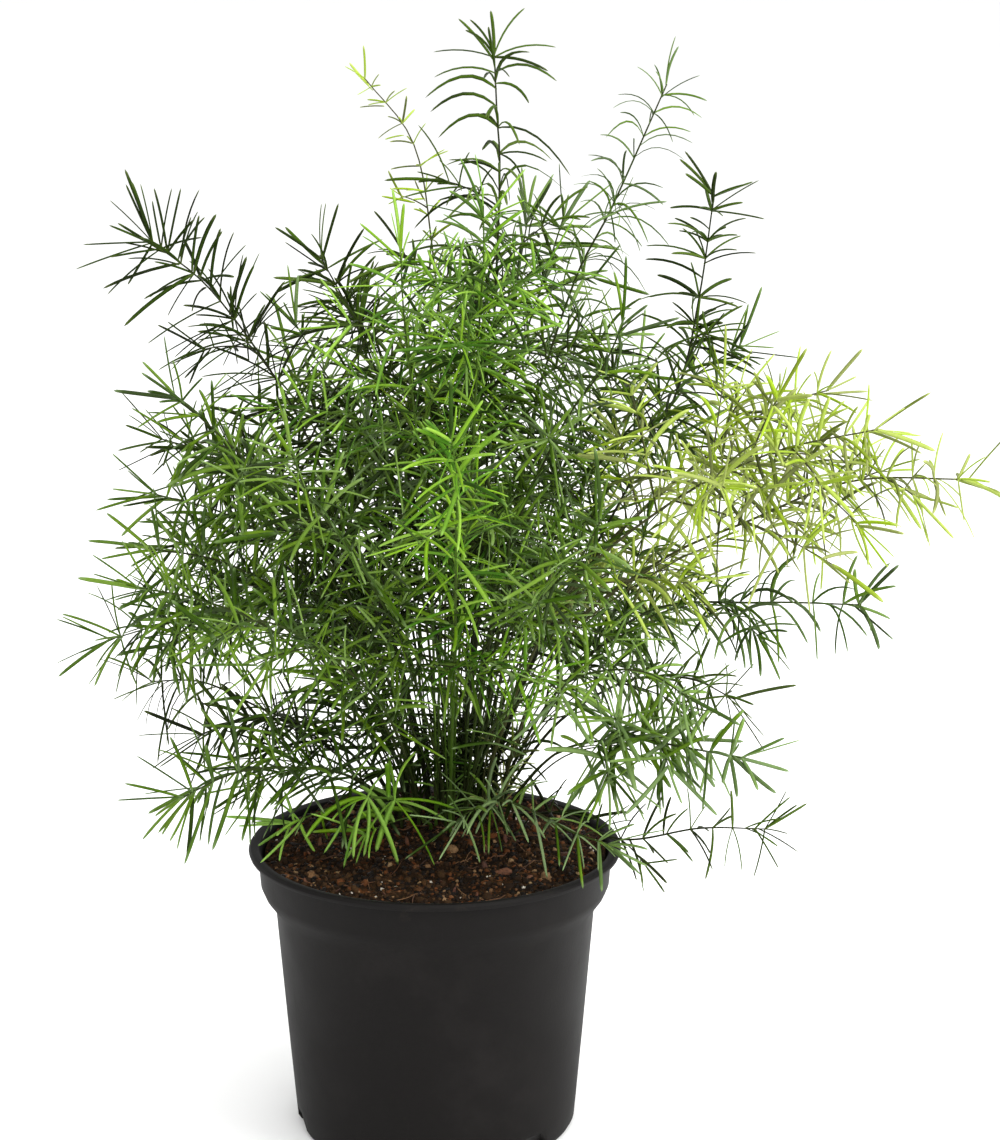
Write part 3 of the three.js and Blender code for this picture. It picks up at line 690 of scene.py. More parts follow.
stemRoutes = {
    "leader": ("dark", 1.0, (9, 30),
        (17, 4, 202), (22, 0, 292), (26, -2, 382), (25, -3, 412), (24, -4, 435)),
    "pale_shoot": ("yellow", 0.5, (3, 37),
        (4, 26, 195), (4, 34, 293), (-1, 36, 357), (-8, 34, 396), (-27, 30, 422)),
    "tall_right": ("mid", 0.85, (18, 33),
        (26, 14, 207), (38, 20, 284), (55, 24, 341), (70, 18, 373), (90, 4, 422)),
    "right_spike": ("dark", 0.8, (22, 28),
        (42, 10, 196), (74, 14, 256), (96, 16, 300), (104, 14, 337), (109, 8, 379)),
    "left_arm": ("dark", 1.0, (-3, 29),
        (-19, -2, 211), (-45, -8, 278), (-60, -12, 310), (-84, -18, 346), (-106, -24, 366)),
    "left_star": ("mid", 1.0, (-7, 25), (-24, -14, 206), (-50, -34, 260), (-72, -46, 288), (-96, -56, 314)),
    "left_mid": ("mid", 1.0, (-12, 31), (-34, 2, 198), (-61, 0, 223), (-86, -6, 237), (-111, -16, 244)),
    "left_fan": ("mid", 1.0, (-7, 33), (-29, 12, 199), (-57, 10, 235), (-82, 4, 253), (-109, -4, 263)),
    "left_tip": ("mid", 1.0, (-11, 38), (-34, 20, 180), (-67, 30, 207), (-102, 30, 203), (-132, 24, 196)),
    "left_thin": ("dark", 1.0, (-17, 34), (-37, 34, 151), (-69, 52, 157), (-97, 62, 167), (-120, 64, 167)),
    "left_low": ("mid", 1.0, (-15, 26), (-35, -20, 153), (-57, -42, 163), (-76, -56, 165), (-96, -62, 157)),
    "left_skirt": ("dark", 1.0, (-21, 28), (-34, 0, 156), (-54, -8, 170), (-73, -16, 175), (-92, -22, 170)),
    "soil_star": ("bright", 1.0, (-2, 16),
        (-5, -9, 131), (-14, -17, 141), (-30, -24, 144), (-57, -24, 134)),
    "soil_right": ("mid", 1.0, (19, 17), (26, -22, 143), (40, -34, 142), (55, -44, 137), (69, -50, 134)),
    "right_low": ("dark", 0.75, (32, 29), (52, 2, 129), (75, -14, 124), (106, -12, 128), (133, -10, 127)),
    "far_right": ("yellow", 1.0, (26, 24),
        (50, -4, 204), (89, -8, 237), (123, -12, 254), (163, -16, 271), (208, -22, 273)),
    "yellow": ("yellow", 1.0, (19, 21), (50, -24, 225), (87, -44, 266), (127, -58, 291), (166, -70, 303)),
    "right_mid": ("mid", 1.0, (26, 32), (50, 8, 180), (86, 20, 209), (132, 30, 210), (173, 34, 208)),
    "right_green": ("mid", 1.0, (28, 19), (50, -24, 164), (76, -44, 175), (99, -56, 175), (119, -62, 173)),
    "right_back": ("dark", 1.0, (27, 37), (51, 34, 159), (80, 62, 168), (106, 78, 164), (126, 84, 153)),
    "upper_left": ("dark", 1.0, (5, 42), (-4, 36, 226), (-20, 52, 289), (-34, 58, 323), (-46, 60, 346)),
    "left_shoulder": ("mid", 1.0, (2, 32), (-7, -4, 236), (-28, 4, 287), (-43, 8, 310), (-54, 12, 328)),
    "left_crest": ("bright", 1.0, (0, 23),
        (-1, -14, 239), (-7, -30, 306), (-10, -38, 340), (-11, -42, 365)),
    "mid_crest": ("mid", 1.0, (11, 34), (22, 34, 243), (34, 54, 305), (44, 62, 337), (52, 66, 362)),
    "right_crest": ("mid", 1.0, (15, 26), (28, -20, 240), (49, -40, 296), (64, -50, 321), (72, -56, 340)),
    "right_crown": ("mid", 1.0, (17, 42), (42, 30, 228), (75, 56, 272), (104, 66, 295), (125, 72, 308)),
    "yellow_top": ("yellow", 1.0, (20, 37), (58, 22, 222), (103, 44, 262), (136, 54, 285), (160, 58, 292)),
    "left_back": ("dark", 1.0, (-4, 39), (-27, 40, 208), (-61, 70, 243), (-88, 86, 257), (-116, 94, 264)),
    "left_down": ("mid", 1.0, (-14, 20),
        (-34, -30, 187), (-62, -50, 221), (-87, -64, 236), (-110, -72, 243)),
    "front_mid": ("bright", 1.0, (6, 13), (9, -50, 216), (10, -86, 265), (11, -116, 294), (9, -136, 313)),
    "front_right": ("mid", 1.0, (12, 22), (22, -46, 207), (41, -82, 241), (55, -108, 263), (62, -130, 283)),
    "front_left": ("mid", 1.0, (4, 19),
        (-12, -46, 215), (-29, -80, 259), (-42, -106, 284), (-48, -126, 307)),
    "front_fall_left": ("mid", 1.0, (-7, 20),
        (-18, -52, 189), (-40, -90, 224), (-61, -116, 242), (-76, -134, 240)),
    "front_fall_right": ("mid", 1.0, (11, 17),
        (26, -50, 185), (52, -88, 212), (77, -112, 222), (95, -128, 216)),
    "back_mid": ("mid", 1.0, (1, 48), (8, 70, 200), (10, 104, 266), (13, 124, 300), (15, 136, 320)),
    "back_right": ("mid", 1.0, (10, 46), (26, 66, 202), (52, 104, 248), (69, 126, 274), (86, 140, 284)),
    "back_left": ("mid", 1.0, (-3, 44), (-13, 66, 202), (-37, 104, 244), (-55, 126, 270), (-66, 140, 293)),
    "back_low_right": ("mid", 1.0, (24, 43), (30, 66, 167), (56, 106, 186), (78, 132, 184), (97, 146, 170)),
    "back_low_left": ("mid", 1.0, (-12, 42),
        (-18, 62, 164), (-46, 100, 184), (-74, 128, 185), (-93, 144, 175)),
    "crest_front": ("bright", 1.0, (7, 25), (15, -20, 272), (18, -34, 330), (20, -40, 361), (20, -42, 382)),
    "crest_back": ("mid", 1.0, (10, 39), (22, 50, 256), (30, 76, 309), (34, 88, 336), (38, 92, 359)),
}


# how the plant grows, in mm and degrees; a shoot is one stem or side twig with its cladodes

growth = {
    "rootDepth": 12.5, "collarHeight": 2.5, "firstLean": 0.2, "firstRise": 0.35,
    "stemSteps": 8, "smoothSteps": 46, "stemRadius": 0.95, "leafyShare": 0.575, "nodeSpacing": 8.5,
    "bareTipNodes": 6, "turnStep": 120, "sway": 40,
    "branchEvery": 5, "branchRadius": 0.66, "branchDroop": -0.25, "branchOpening": (48, 68),
    "branchLength": (34, 60), "branchSwings": (0, 120, -120, 25, -25, 145, -95, 60),
    "starSpacing": 2.6, "cladodeSpacing": 14.0, "cladodeRadius": 1.15, "cladodeWaist": 0.32,
    "cladodeLength": 25.0, "cladodeArch": 0.16, "cladodeDroop": -0.6, "cladodeOpening": (52, 78),
    "tipOpening": (22, 52), "cladodeSwings": (0, 35, -35, 70, -70), "clearance": 0.35,
}

# how full a stem is, unless its own habits say otherwise: numbers of cladodes are from and to, lengths
# are shares of a full cladode, and the last three are for its colours: its tone, how much painted highlight,
# a whitish sheen, its blades get, and how much painted shade darkens its blades low inside the plant
fullness = {
    "leafyShare": 0.35, "perNode": (3, 5), "nodeSpacing": 10.0, "opening": (48, 96),
    "stemLength": (0.66, 1.15), "bareBelow": 122.0, "starExtra": (1, 3), "starOpening": (12, 55),
    "twigShare": 0.0, "firstTwigNode": 4, "twigReach": 1.4, "twigNodeSpacing": 8.2,
    "twigLength": (0.6, 1.15), "twigOpening": (45, 70), "twigTurn": 137.5, "twigSpan": (30, 56),
    "twigSwings": (0, 40, -40, 90, -90, 140, 180),
    "tuft": 0, "tuftRises": (19.0, 52.0, 5.5), "tuftOpening": (25, 85), "tuftLength": (0.4, 0.8),
    "reeds": 2, "reedReach": (0.4, 0.75), "reedApart": (4, 13), "reedOpening": (20, 75),
    "reedLength": (0.5, 0.9), "stars": (), "needles": (),
    "limp": 0.5, "stiffTip": 25.0, "sickle": 0.16, "depth": 1.0, "broad": 1.0,
    "tone": (-0.05, 1.0), "paintedHighlight": 0.12, "shaded": 0.5,
}

# what single stems do otherwise; stars: distance from the tip, number, lengths; needles: distance
# from the tip, and from there to the needle's own tip
habits = {
    "leader": dict(
        leafyShare=0.5, twigShare=1.0, firstTwigNode=10, twigReach=0.8, twigLength=(0.42, 0.98), tuft=4,
        reeds=1, limp=1.9, depth=0.6, broad=0.95, tone=(0.1, 1.0),
        stars=[
            (54, 4, 1.0, 1.4), (62, 4, 1.0, 1.4), (71, 4, 0.9, 1.3), (80, 4, 0.8, 1.2),
        ],
        needles=[
            (1, -8.8, 2, 15), (1, 0.5, -3, 19), (2, -10.9, 6, 11), (2, -23, -4, 6), (2, 23, 4, 6),
            (2, 20, -8, -2), (8, -24, 5, 3), (8, 23, -4, 2), (8, 4, -19, 4), (12, 14, -4, 17),
            (12, 13, 3, -6), (12, -5, 18, 4), (21, -25, -3, 3), (21, 28, 6, 0), (21, -4, -20, 1),
            (29, -22, 6, 4), (29, 28, -4, -2), (29, -10, 9, 5), (29, 8, -18, 1), (39, 20, 5, 4),
            (39, 19, -7, 1), (39, 9, 4, -9), (39, -9, 19, 3), (46, -21, -4, 8), (46, -17, 6, 6),
            (46, 6, -20, 4),
        ]),
    "pale_shoot": dict(
        leafyShare=0.93, twigShare=0.35, firstTwigNode=12, twigReach=0.8, twigLength=(0.42, 0.98), reeds=1,
        broad=0.8),
    "tall_right": dict(
        leafyShare=0.93, twigReach=1.1, twigLength=(0.42, 0.98), tuft=4, limp=1.9, depth=0.6, broad=0.7,
        tone=(0.0, 0.7), paintedHighlight=0.3,
        needles=[
            (62, 25, -6, -3), (62, 21, 8, 7), (80, 25, -4, -6), (80, 20, 6, 8),
        ]),
    "right_spike": dict(
        perNode=(5, 7), stemLength=(0.95, 1.4), twigLength=(0.8, 1.3), tuft=4, limp=0.8, broad=1.05,
        tone=(0.1, 1.0),
        stars=[
            (0.6, 4, 0.95, 1.25), (6.5, 7, 0.75, 1.05), (19, 8, 0.75, 1.0), (26, 5, 0.65, 0.95),
            (42, 8, 0.7, 1.0), (53, 8, 0.75, 1.05),
        ],
        needles=[
            (26, -24, 6, 5), (42, -25, -6, 3), (34, -23, 4, 8),
        ]),
    "left_arm": dict(
        stemLength=(0.85, 1.45), twigShare=0.35, twigReach=1.0, twigLength=(0.42, 0.98), sickle=0.1,
        depth=0.45, broad=0.9, tone=(0.0, 0.6), paintedHighlight=0.05,
        needles=[
            (1, -10.9, 4, 29), (1, -3, -5, 24), (1, -29, -6, -8), (1, -10, 4, -16.5), (8, -4.1, -4, 27),
            (8, 6.4, 5, 25), (8, -16.7, -5, 5.8), (13, 10.5, -3, 19), (21, -14.7, -4, 6),
            (21, -17.3, 5, -8.7), (21, -27, -3, -18), (21, -12.2, 6, -17), (21, 8, 3, 27),
            (30, 13.2, 4, 18.4), (45, -15, -4, 3), (45, -28, 5, -12), (45, -25, -4, -17), (45, 5, -5, 28),
            (45, 6.4, 5, 24), (45, 8, 6, 10), (56, 14, -3, 23), (56, -9, 5, 19), (73, -14.7, -5, 10),
            (73, -29, 4, 3), (73, -24, -6, -3), (45, -1.3, -8, 13), (13, 5.8, 4, 17), (8, 12.2, -6, 15.7),
            (30, 4.7, -4, 28), (20, 3, 4, 24), (24, 9, -4, 20),
        ]),
    "left_star": dict(
        leafyShare=0.25, perNode=(4, 6), stemLength=(0.6, 1.0), twigShare=0.7, twigReach=1.1,
        twigLength=(0.8, 1.3), tuft=4, depth=0.7, broad=1.15),
    "left_mid": dict(
        leafyShare=0.93, perNode=(5, 7), stemLength=(0.95, 1.4), twigLength=(0.8, 1.3), bareBelow=140,
        tone=(0.05, 1.0)),
    "left_fan": dict(
        leafyShare=0.25, twigShare=0.7, twigLength=(0.8, 1.3), bareBelow=140, tone=(0.05, 1.0)),
    "left_tip": dict(perNode=(6, 9), stemLength=(0.95, 1.4), twigShare=1.0, bareBelow=140, depth=0.6),
    "left_thin": dict(
        leafyShare=0.25, perNode=(4, 6), stemLength=(0.95, 1.4), twigLength=(0.42, 0.98), bareBelow=140,
        limp=1.6, broad=0.7),
    "left_low": dict(
        leafyShare=0.65, stemLength=(0.95, 1.4), twigShare=0.35, twigLength=(0.8, 1.3), bareBelow=140,
        depth=0.7, broad=1.05, tone=(0.0, 0.75)),
    "left_skirt": dict(perNode=(5, 7), twigLength=(0.42, 0.98), bareBelow=140, tone=(0.0, 0.6)),
    # its tone is raised as painted light, so that it looks lit though the foliage above shades it
    "soil_star": dict(
        leafyShare=0.0, perNode=(1, 2), twigReach=1.1, twigLength=(0.42, 0.98), reeds=0, limp=1.0,
        sickle=0.25, broad=1.5, tone=(0.5, 0.8), paintedHighlight=0.35, shaded=0.0,
        needles=[
            (33, -9.5, -10, -21), (33, -7, -14, -16), (33, 3, -9, -19), (33, 10, -9, -21),
            (33, -26, -6, -8), (33, -20, 8, 5), (33, -16, -10, -4), (33, 6, 14, 9), (45, -17, -9, -17),
            (45, -5, -12, -15), (45, 13.5, -8, -21), (45, 25, -4, -1), (45, 10, 4, 20), (45, -1, 9, 18),
            (45, -12, 14, 3), (45, 20, 10, -9), (1, -7, -6, -13), (1, -14, -4, 1), (2, -9, 6, -8),
            (2, -4, 3, 12), (4, 4, -5, -12), (4, -12, 4, 9), (4, -9, -9, -3),
        ]),
    "soil_right": dict(
        leafyShare=0.6, perNode=(4, 6), stemLength=(0.55, 1.0), twigLength=(0.42, 0.98), reeds=0, limp=0.9,
        tone=(0.1, 0.9), paintedHighlight=0.5, shaded=0.1),
    "right_low": dict(
        leafyShare=0.8, twigReach=1.1, twigLength=(0.42, 0.98), reeds=0, depth=0.5, broad=0.95,
        stars=[
            (1, 4, 0.9, 1.3), (5, 2, 0.8, 1.1), (9, 2, 0.8, 1.1), (14, 2, 0.8, 1.1), (22, 3, 0.8, 1.2),
        ]),
    "far_right": dict(
        perNode=(4, 6), twigShare=0.35, twigReach=0.8, tuft=4, limp=0.8, sickle=0.25, tone=(-0.2, 1.0),
        paintedHighlight=0.3),
    "yellow": dict(twigShare=1.0, limp=0.65, sickle=0.2, broad=1.12, tone=(-0.2, 1.0), paintedHighlight=0.3),
    "right_mid": dict(
        leafyShare=0.65, perNode=(5, 7), twigShare=0.35, firstTwigNode=9, twigReach=0.8,
        twigLength=(0.42, 0.98), tuft=2, limp=1.3, depth=0.6, broad=1.1, tone=(0.0, 0.8), paintedHighlight=0.2,
        stars=[
            (1, 4, 0.8, 1.1), (7.5, 3, 0.8, 1.1), (20, 4, 0.8, 1.1), (37, 5, 0.8, 1.15), (50, 5, 0.9, 1.2),
        ]),
    "right_green": dict(
        perNode=(6, 9), stemLength=(0.6, 1.0), twigShare=1.0, twigReach=0.8, twigLength=(0.8, 1.3),
        broad=1.35, tone=(0.1, 0.95), paintedHighlight=0.3),
    "right_back": dict(
        perNode=(4, 6), stemLength=(0.6, 1.0), twigShare=0.7, twigReach=1.1, tone=(0.05, 0.9), paintedHighlight=0.25),
    "upper_left": dict(
        leafyShare=0.65, perNode=(6, 9), stemLength=(0.8, 1.3), twigShare=0.7, twigLength=(0.8, 1.3),
        tuft=4),
    "left_shoulder": dict(
        perNode=(6, 9), stemLength=(0.6, 1.0), twigShare=0.7, twigReach=0.8, tone=(0.05, 1.0), paintedHighlight=0.3),
    "left_crest": dict(twigShare=0.7, tuft=2, broad=0.9, tone=(-0.2, 1.1), paintedHighlight=0.25),
    "mid_crest": dict(
        leafyShare=0.25, stemLength=(0.6, 1.0), twigShare=0.7, tuft=4, tone=(-0.2, 1.15), paintedHighlight=0.2),
    "right_crest": dict(perNode=(6, 9), stemLength=(0.6, 1.0), tuft=4, tone=(-0.2, 1.15), paintedHighlight=0.2),
    "right_crown": dict(perNode=(6, 9), tuft=4),
    "yellow_top": dict(
        leafyShare=0.5, perNode=(4, 6), twigShare=0.35, tuft=2, limp=0.65, sickle=0.2, tone=(-0.2, 1.0),
        paintedHighlight=0.3),
    "left_back": dict(
        leafyShare=0.65, perNode=(4, 6), stemLength=(0.6, 1.0), twigShare=1.0, twigLength=(0.8, 1.3)),
    "left_down": dict(
        leafyShare=0.65, perNode=(4, 6), stemLength=(0.8, 1.3), twigLength=(0.42, 0.98), bareBelow=140,
        tone=(0.05, 1.0)),
    "front_mid": dict(leafyShare=0.93, bareBelow=195),
    "front_right": dict(twigShare=0.7, twigReach=0.8, bareBelow=185, tone=(0.05, 1.0)),
    "front_left": dict(leafyShare=0.93, perNode=(4, 6), bareBelow=185, tone=(0.05, 1.0)),
    "front_fall_left": dict(
        leafyShare=0.8, stemLength=(0.6, 1.0), twigLength=(0.42, 0.98), bareBelow=175, tone=(0.05, 1.0)),
    "front_fall_right": dict(
        leafyShare=0.25, stemLength=(0.6, 1.0), bareBelow=175, tone=(0.1, 0.95), paintedHighlight=0.3),
    "back_mid": dict(leafyShare=0.25, perNode=(5, 7), stemLength=(0.6, 1.0), twigShare=0.35, tuft=2),
    "back_right": dict(leafyShare=0.93, perNode=(6, 9), twigShare=0.35, tuft=4),
    "back_left": dict(perNode=(6, 9), twigShare=0.35, twigReach=0.8, twigLength=(0.42, 0.98)),
    "back_low_right": dict(
        leafyShare=0.5, stemLength=(0.8, 1.3), twigShare=0.7, twigReach=1.1, twigLength=(0.8, 1.3),
        tone=(0.2, 1.0), paintedHighlight=0.3),
    "back_low_left": dict(leafyShare=0.65, perNode=(6, 9), stemLength=(0.6, 1.0)),
    "crest_front": dict(
        leafyShare=0.25, perNode=(6, 9), twigShare=1.0, tuft=4, broad=0.9, tone=(-0.2, 1.1), paintedHighlight=0.25),
    "crest_back": dict(leafyShare=0.8, perNode=(4, 6), tuft=4, tone=(-0.2, 1.15), paintedHighlight=0.2),
}


boxLow, boxHigh = (np.array(corner, float) / mm for corner in cadBox)


def draw(a, b, c):
    # a repeatable number from 0 to 1
    value = math.sin(a * 12.9898 + b * 78.233 + c * 37.719) * 43758.5453
    return value - math.floor(value)


def between(low, high, share):
    return low + (high - low) * share


def sidesOf(axis):
    # two directions square to an axis: a level one, and one that lifts
    level = np.cross((0.0, 0.0, 1.0), axis)
    level[np.linalg.norm(level, axis=-1) < 0.05] = (1.0, 0.0, 0.0)
    level = unit(level)
    return level, unit(np.cross(axis, level))


def leaving(axis, opening, turn):
    # a direction that leaves an axis at an opening angle, turned round it
    level, lift = sidesOf(axis)
    opening, turn = math.radians(opening), math.radians(turn)
    aside = math.cos(turn) * level + math.sin(turn) * lift
    return unit(math.cos(opening) * axis + math.sin(opening) * aside)


def turnedRound(vector, axis, degrees):
    cos, sin = math.cos(math.radians(degrees)), math.sin(math.radians(degrees))
    return vector * cos + np.cross(axis, vector) * sin + axis * (axis @ vector) * (1 - cos)


def splineThrough(points, steps):
    # a smooth curve through points, as evenly spaced corners
    p = np.array(points, float)
    p = np.vstack([2 * p[0] - p[1], p, 2 * p[-1] - p[-2]])

    def placesAt(t):
        i = np.minimum(t.astype(int), len(p) - 4)
        w = (t - i)[:, None]
        a, b, slopeA, slopeB = p[i + 1], p[i + 2], (p[i + 2] - p[i]) / 2, (p[i + 3] - p[i + 1]) / 2
        bend, twist = 3 * (b - a) - 2 * slopeA - slopeB, 2 * (a - b) + slopeA + slopeB
        return a + slopeA * w + bend * w ** 2 + twist * w ** 3

    t = np.linspace(0, 1, 201) * (len(p) - 3)
    reach = np.concatenate([[0], np.cumsum(np.linalg.norm(np.diff(placesAt(t), axis=0), axis=1))])
    return placesAt(np.interp(np.linspace(0, reach[-1], steps + 1), reach, t))


class Chain:
    # a chain of straight runs; places on it are given by their distance from its end
    def __init__(self, corners):
        self.corners = np.asarray(corners, float)
        steps = np.diff(self.corners, axis=0)
        self.lengths = np.linalg.norm(steps, axis=1)
        self.axes = steps / self.lengths[:, None]
        self.length = self.lengths.sum()

    def runs(self):
        return list(zip(self.corners[:-1], self.corners[1:]))

    def fromEnd(self, distance):
        i = len(self.lengths) - 1
        while i > 0 and distance > self.lengths[i]:
            distance -= self.lengths[i]
            i -= 1
        return self.corners[i + 1] - self.axes[i] * distance, self.axes[i]


class Thicket:
    # what stands so far, as straight runs with a radius and the number of their shoot
    def __init__(self):
        room = 9000
        self.starts, self.ends = np.zeros((room, 3)), np.zeros((room, 3))
        self.radii, self.shoots, self.count = np.zeros(room), np.zeros(room, int), 0

    def keep(self, runs, radius, shoot):
        for start, end in runs:
            i = self.count
            self.starts[i], self.ends[i], self.radii[i], self.shoots[i] = start, end, radius, shoot
            self.count += 1

    def isClear(self, start, end, radius, shoot, bearer):
        # the least gap between this run and each other one, by the nearest places s and t on them
        n = self.count
        d1, d2 = end - start, self.ends[:n] - self.starts[:n]
        r = start - self.starts[:n]
        a, e, f, c, b = d1 @ d1, (d2 * d2).sum(1), (d2 * r).sum(1), r @ d1, d2 @ d1
        below = a * e - b * b
        s = np.where(below > 1e-12, ((b * f - c * e) / np.maximum(below, 1e-12)).clip(0, 1), 0)
        t = (b * s + f) / e
        s = np.where(t < 0, (-c / a).clip(0, 1), np.where(t > 1, ((b - c) / a).clip(0, 1), s))
        t = t.clip(0, 1)
        gap = np.linalg.norm(r + s[:, None] * d1 - t[:, None] * d2, axis=1)
        other = (self.shoots[:n] != shoot) & (self.shoots[:n] != bearer)
        return not np.any(other & (gap <= radius + self.radii[:n] + growth["clearance"]))

    def takes(self, runs, radius, shoot, bearer):
        # keeps runs that are clear of all others and of the pot
        isFree = all(self.isClear(a, b, radius, shoot, bearer) and isAbovePot(b) for a, b in runs)
        if isFree:
            self.keep(runs, radius, shoot)
        return isFree


def isAbovePot(point):
    isOver = math.hypot(point[0], point[1]) < potValues["lipRadius"] + 3
    return point[2] > (potValues["lipTop"] + 3 if isOver else 4)


def plantStem(number, name):
    v = growth
    green, size, (x, y), *points = stemRoutes[name]
    px, py, pz = points[0]
    ground = soilHeight(x, y)
    lean, rise = v["firstLean"], v["firstRise"]
    early = (x + (px - x) * lean, y + (py - y) * lean, ground + (pz - ground) * rise)
    route = [(x, y, ground + v["collarHeight"]), early, *points]
    root = (x, y, ground - v["rootDepth"])
    return {
        **fullness, **habits.get(name, {}), "number": number, "name": name, "green": green, "size": size,
        "chain": Chain([root, *splineThrough(route, v["stemSteps"])]),
        "smooth": Chain([root, *splineThrough(route, v["smoothSteps"])]),
        "twigs": [], "reedPaths": [], "cladodes": [],
    }


def twigPath(root, heading, length, steps):
    # a side twig rises a little, then droops
    up = np.array((0.0, 0.0, 1.0))
    middle = root + heading * length * 0.55 + up * length * 0.06
    end = root + heading * length - up * length * 0.08
    t = np.linspace(0, 1, steps + 1)[:, None]
    return Chain((1 - t) ** 2 * root + 2 * t * (1 - t) * middle + t ** 2 * end)


def growTwig(thicket, stem, node, opening, turn, full, swings, margin):
    # tries it turned aside, and then shorter, until it stands clear; margin: within the solids' box
    root, axis = stem["chain"].fromEnd(node * growth["nodeSpacing"])
    shoot = 1000 * (stem["number"] + 1) + node
    for shorter in (1, 0.75, 0.55):
        for swing in swings:
            heading = leaving(axis, opening, turn + swing)
            heading[2] = max(heading[2], growth["branchDroop"])
            heading = unit(heading)
            length = full * shorter * stem["size"]
            chain = twigPath(root, heading, length, 2)
            end = chain.corners[-1]
            if not np.all((end > boxLow + margin) & (end < boxHigh - margin)):
                continue
            if thicket.takes(chain.runs(), growth["branchRadius"], shoot, stem["number"]):
                start = stem["smooth"].fromEnd(node * growth["nodeSpacing"])[0]
                smooth = twigPath(start, heading, length, 8)
                stem["twigs"].append({"node": node, "shoot": shoot, "chain": chain, "smooth": smooth})
                return


def firstTwigs(thicket, stem):
    # the twigs that the solids have
    v, number = growth, stem["number"]
    leafy = int(stem["chain"].length * v["leafyShare"] / v["nodeSpacing"])
    for node in range(v["bareTipNodes"] + 1, leafy + 1, v["branchEvery"]):
        opening = between(*v["branchOpening"], draw(number, node, 1))
        turn = 90 + v["turnStep"] * node + v["sway"] * (draw(number, node, 2) - 0.5)
        longest = between(*v["branchLength"], draw(number, node, 3))
        full = min(20 + 4.5 * (node - v["bareTipNodes"]), longest)
        growTwig(thicket, stem, node, opening, turn, full, v["branchSwings"], -9.0)


def moreTwigs(thicket, stem, rng):
    # further twigs between them
    taken = {twig["node"] for twig in stem["twigs"]}
    leafy = int(stem["chain"].length * stem["leafyShare"] / growth["nodeSpacing"])
    for node in range(stem["firstTwigNode"], leafy + 1):
        isWanted = rng.random() < stem["twigShare"]
        opening = between(*stem["twigOpening"], rng.random())
        turn = stem["twigTurn"] * node + growth["sway"] * rng.random()
        longest = between(*stem["twigSpan"], rng.random())
        if isWanted and node not in taken:
            full = min(6 + 4.4 * (node - 1), longest) * stem["twigReach"]
            growTwig(thicket, stem, node, opening, turn, full, stem["twigSwings"], 4.0)


def firstCladodes(thicket, stem, shoot, chain, place, last):
    # the cladodes that the solids have: a star at the tip, and single ones back along the shoot
    v, number, radius = growth, stem["number"], growth["cladodeRadius"]
    spots = [(place, k, 1 + v["starSpacing"] * k, True) for k in range(3)]
    spots += [(place + n, n % 3, n * v["cladodeSpacing"], False) for n in range(1, last + 1)]
    for at, k, distance, isTip in spots:
        root, axis = chain.fromEnd(distance)
        opening = between(*v["tipOpening" if isTip else "cladodeOpening"], draw(number, at, 10 + k))
        turn = 90 + v["turnStep"] * k + v["sway"] * (draw(number, at, 20 + k) - 0.5)
        wanted = leaving(axis, opening, turn)
        wanted[2] = max(wanted[2], v["cladodeDroop"])
        wanted = unit(wanted)
        length = v["cladodeLength"] * (0.86 + 0.28 * draw(number, at, 30 + k)) * stem["size"]
        for swing in v["cladodeSwings"]:
            heading = turnedRound(wanted, axis, swing)
            rise = np.array((0, 0, length * v["cladodeArch"] / 4))
            waist = root + heading * length * v["cladodeWaist"] + rise
            if thicket.takes([(root, waist), (waist, root + heading * length)], radius, shoot, shoot):
                limp = stem["limp"] * (0.3 if isTip else 1.0)
                stem["cladodes"].append((root, heading, length, 0.0, limp))
                break


def limpAt(stem, distance):
    # cladodes are stiffer towards the tip
    return stem["limp"] * min(1.0, 0.35 + distance / stem["stiffTip"])


def addCluster(rng, stem, chain, distance, number, openings, size, lengths, young):
    # cladodes that stand all round one node; each is a root, a heading, a length, how young and how limp
    limp = limpAt(stem, distance)
    root, axis = chain.fromEnd(distance)
    start = rng.random() * 360
    for k in range(number):
        turn = start + k * 360 / number + 50 * (rng.random() - 0.5)
        heading = leaving(axis, between(*openings, rng.random()), turn)
        heading[1] *= stem["depth"]
        heading[2] = max(heading[2], -0.86)
        length = size * between(*lengths, rng.random())
        stem["cladodes"].append((root, unit(heading), length, young, limp))


def moreCladodes(rng, stem, chain, start, last, spacing, lengths):
    # full clusters at every node, smaller, younger and closer together towards the tip
    size = stem["size"] * growth["cladodeLength"]
    (fewExtra, mostExtra), (few, most) = stem["starExtra"], stem["perNode"]
    if not start:
        number = int(rng.integers(fewExtra, mostExtra + 1))
        addCluster(rng, stem, chain, 0.6, number, stem["starOpening"], size * 0.9, lengths, 0.9)
    distance, k = max(start, 5.0), 1 + start // 8
    while distance < last and chain.fromEnd(distance)[0][2] > stem["bareBelow"]:
        grown = min(1.0, 0.72 + 0.1 * k)
        number = int(rng.integers(few, most + 1))
        young = max(0.0, 0.7 - 0.2 * k)
        addCluster(rng, stem, chain, distance, number, stem["opening"], size * grown, lengths, young)
        distance += min(spacing, 7.5 + 0.9 * k) * (0.85 + 0.3 * rng.random())
        k += 1


def addTuft(rng, stem):
    # short young cladodes low on a stem, by their height above its root
    chain, full = stem["smooth"], growth["cladodeLength"]
    for rise in np.arange(*stem["tuftRises"]):
        distance, opening, lengths = chain.length - rise, stem["tuftOpening"], stem["tuftLength"]
        addCluster(rng, stem, chain, distance, stem["tuft"], opening, full, lengths, 0.1)


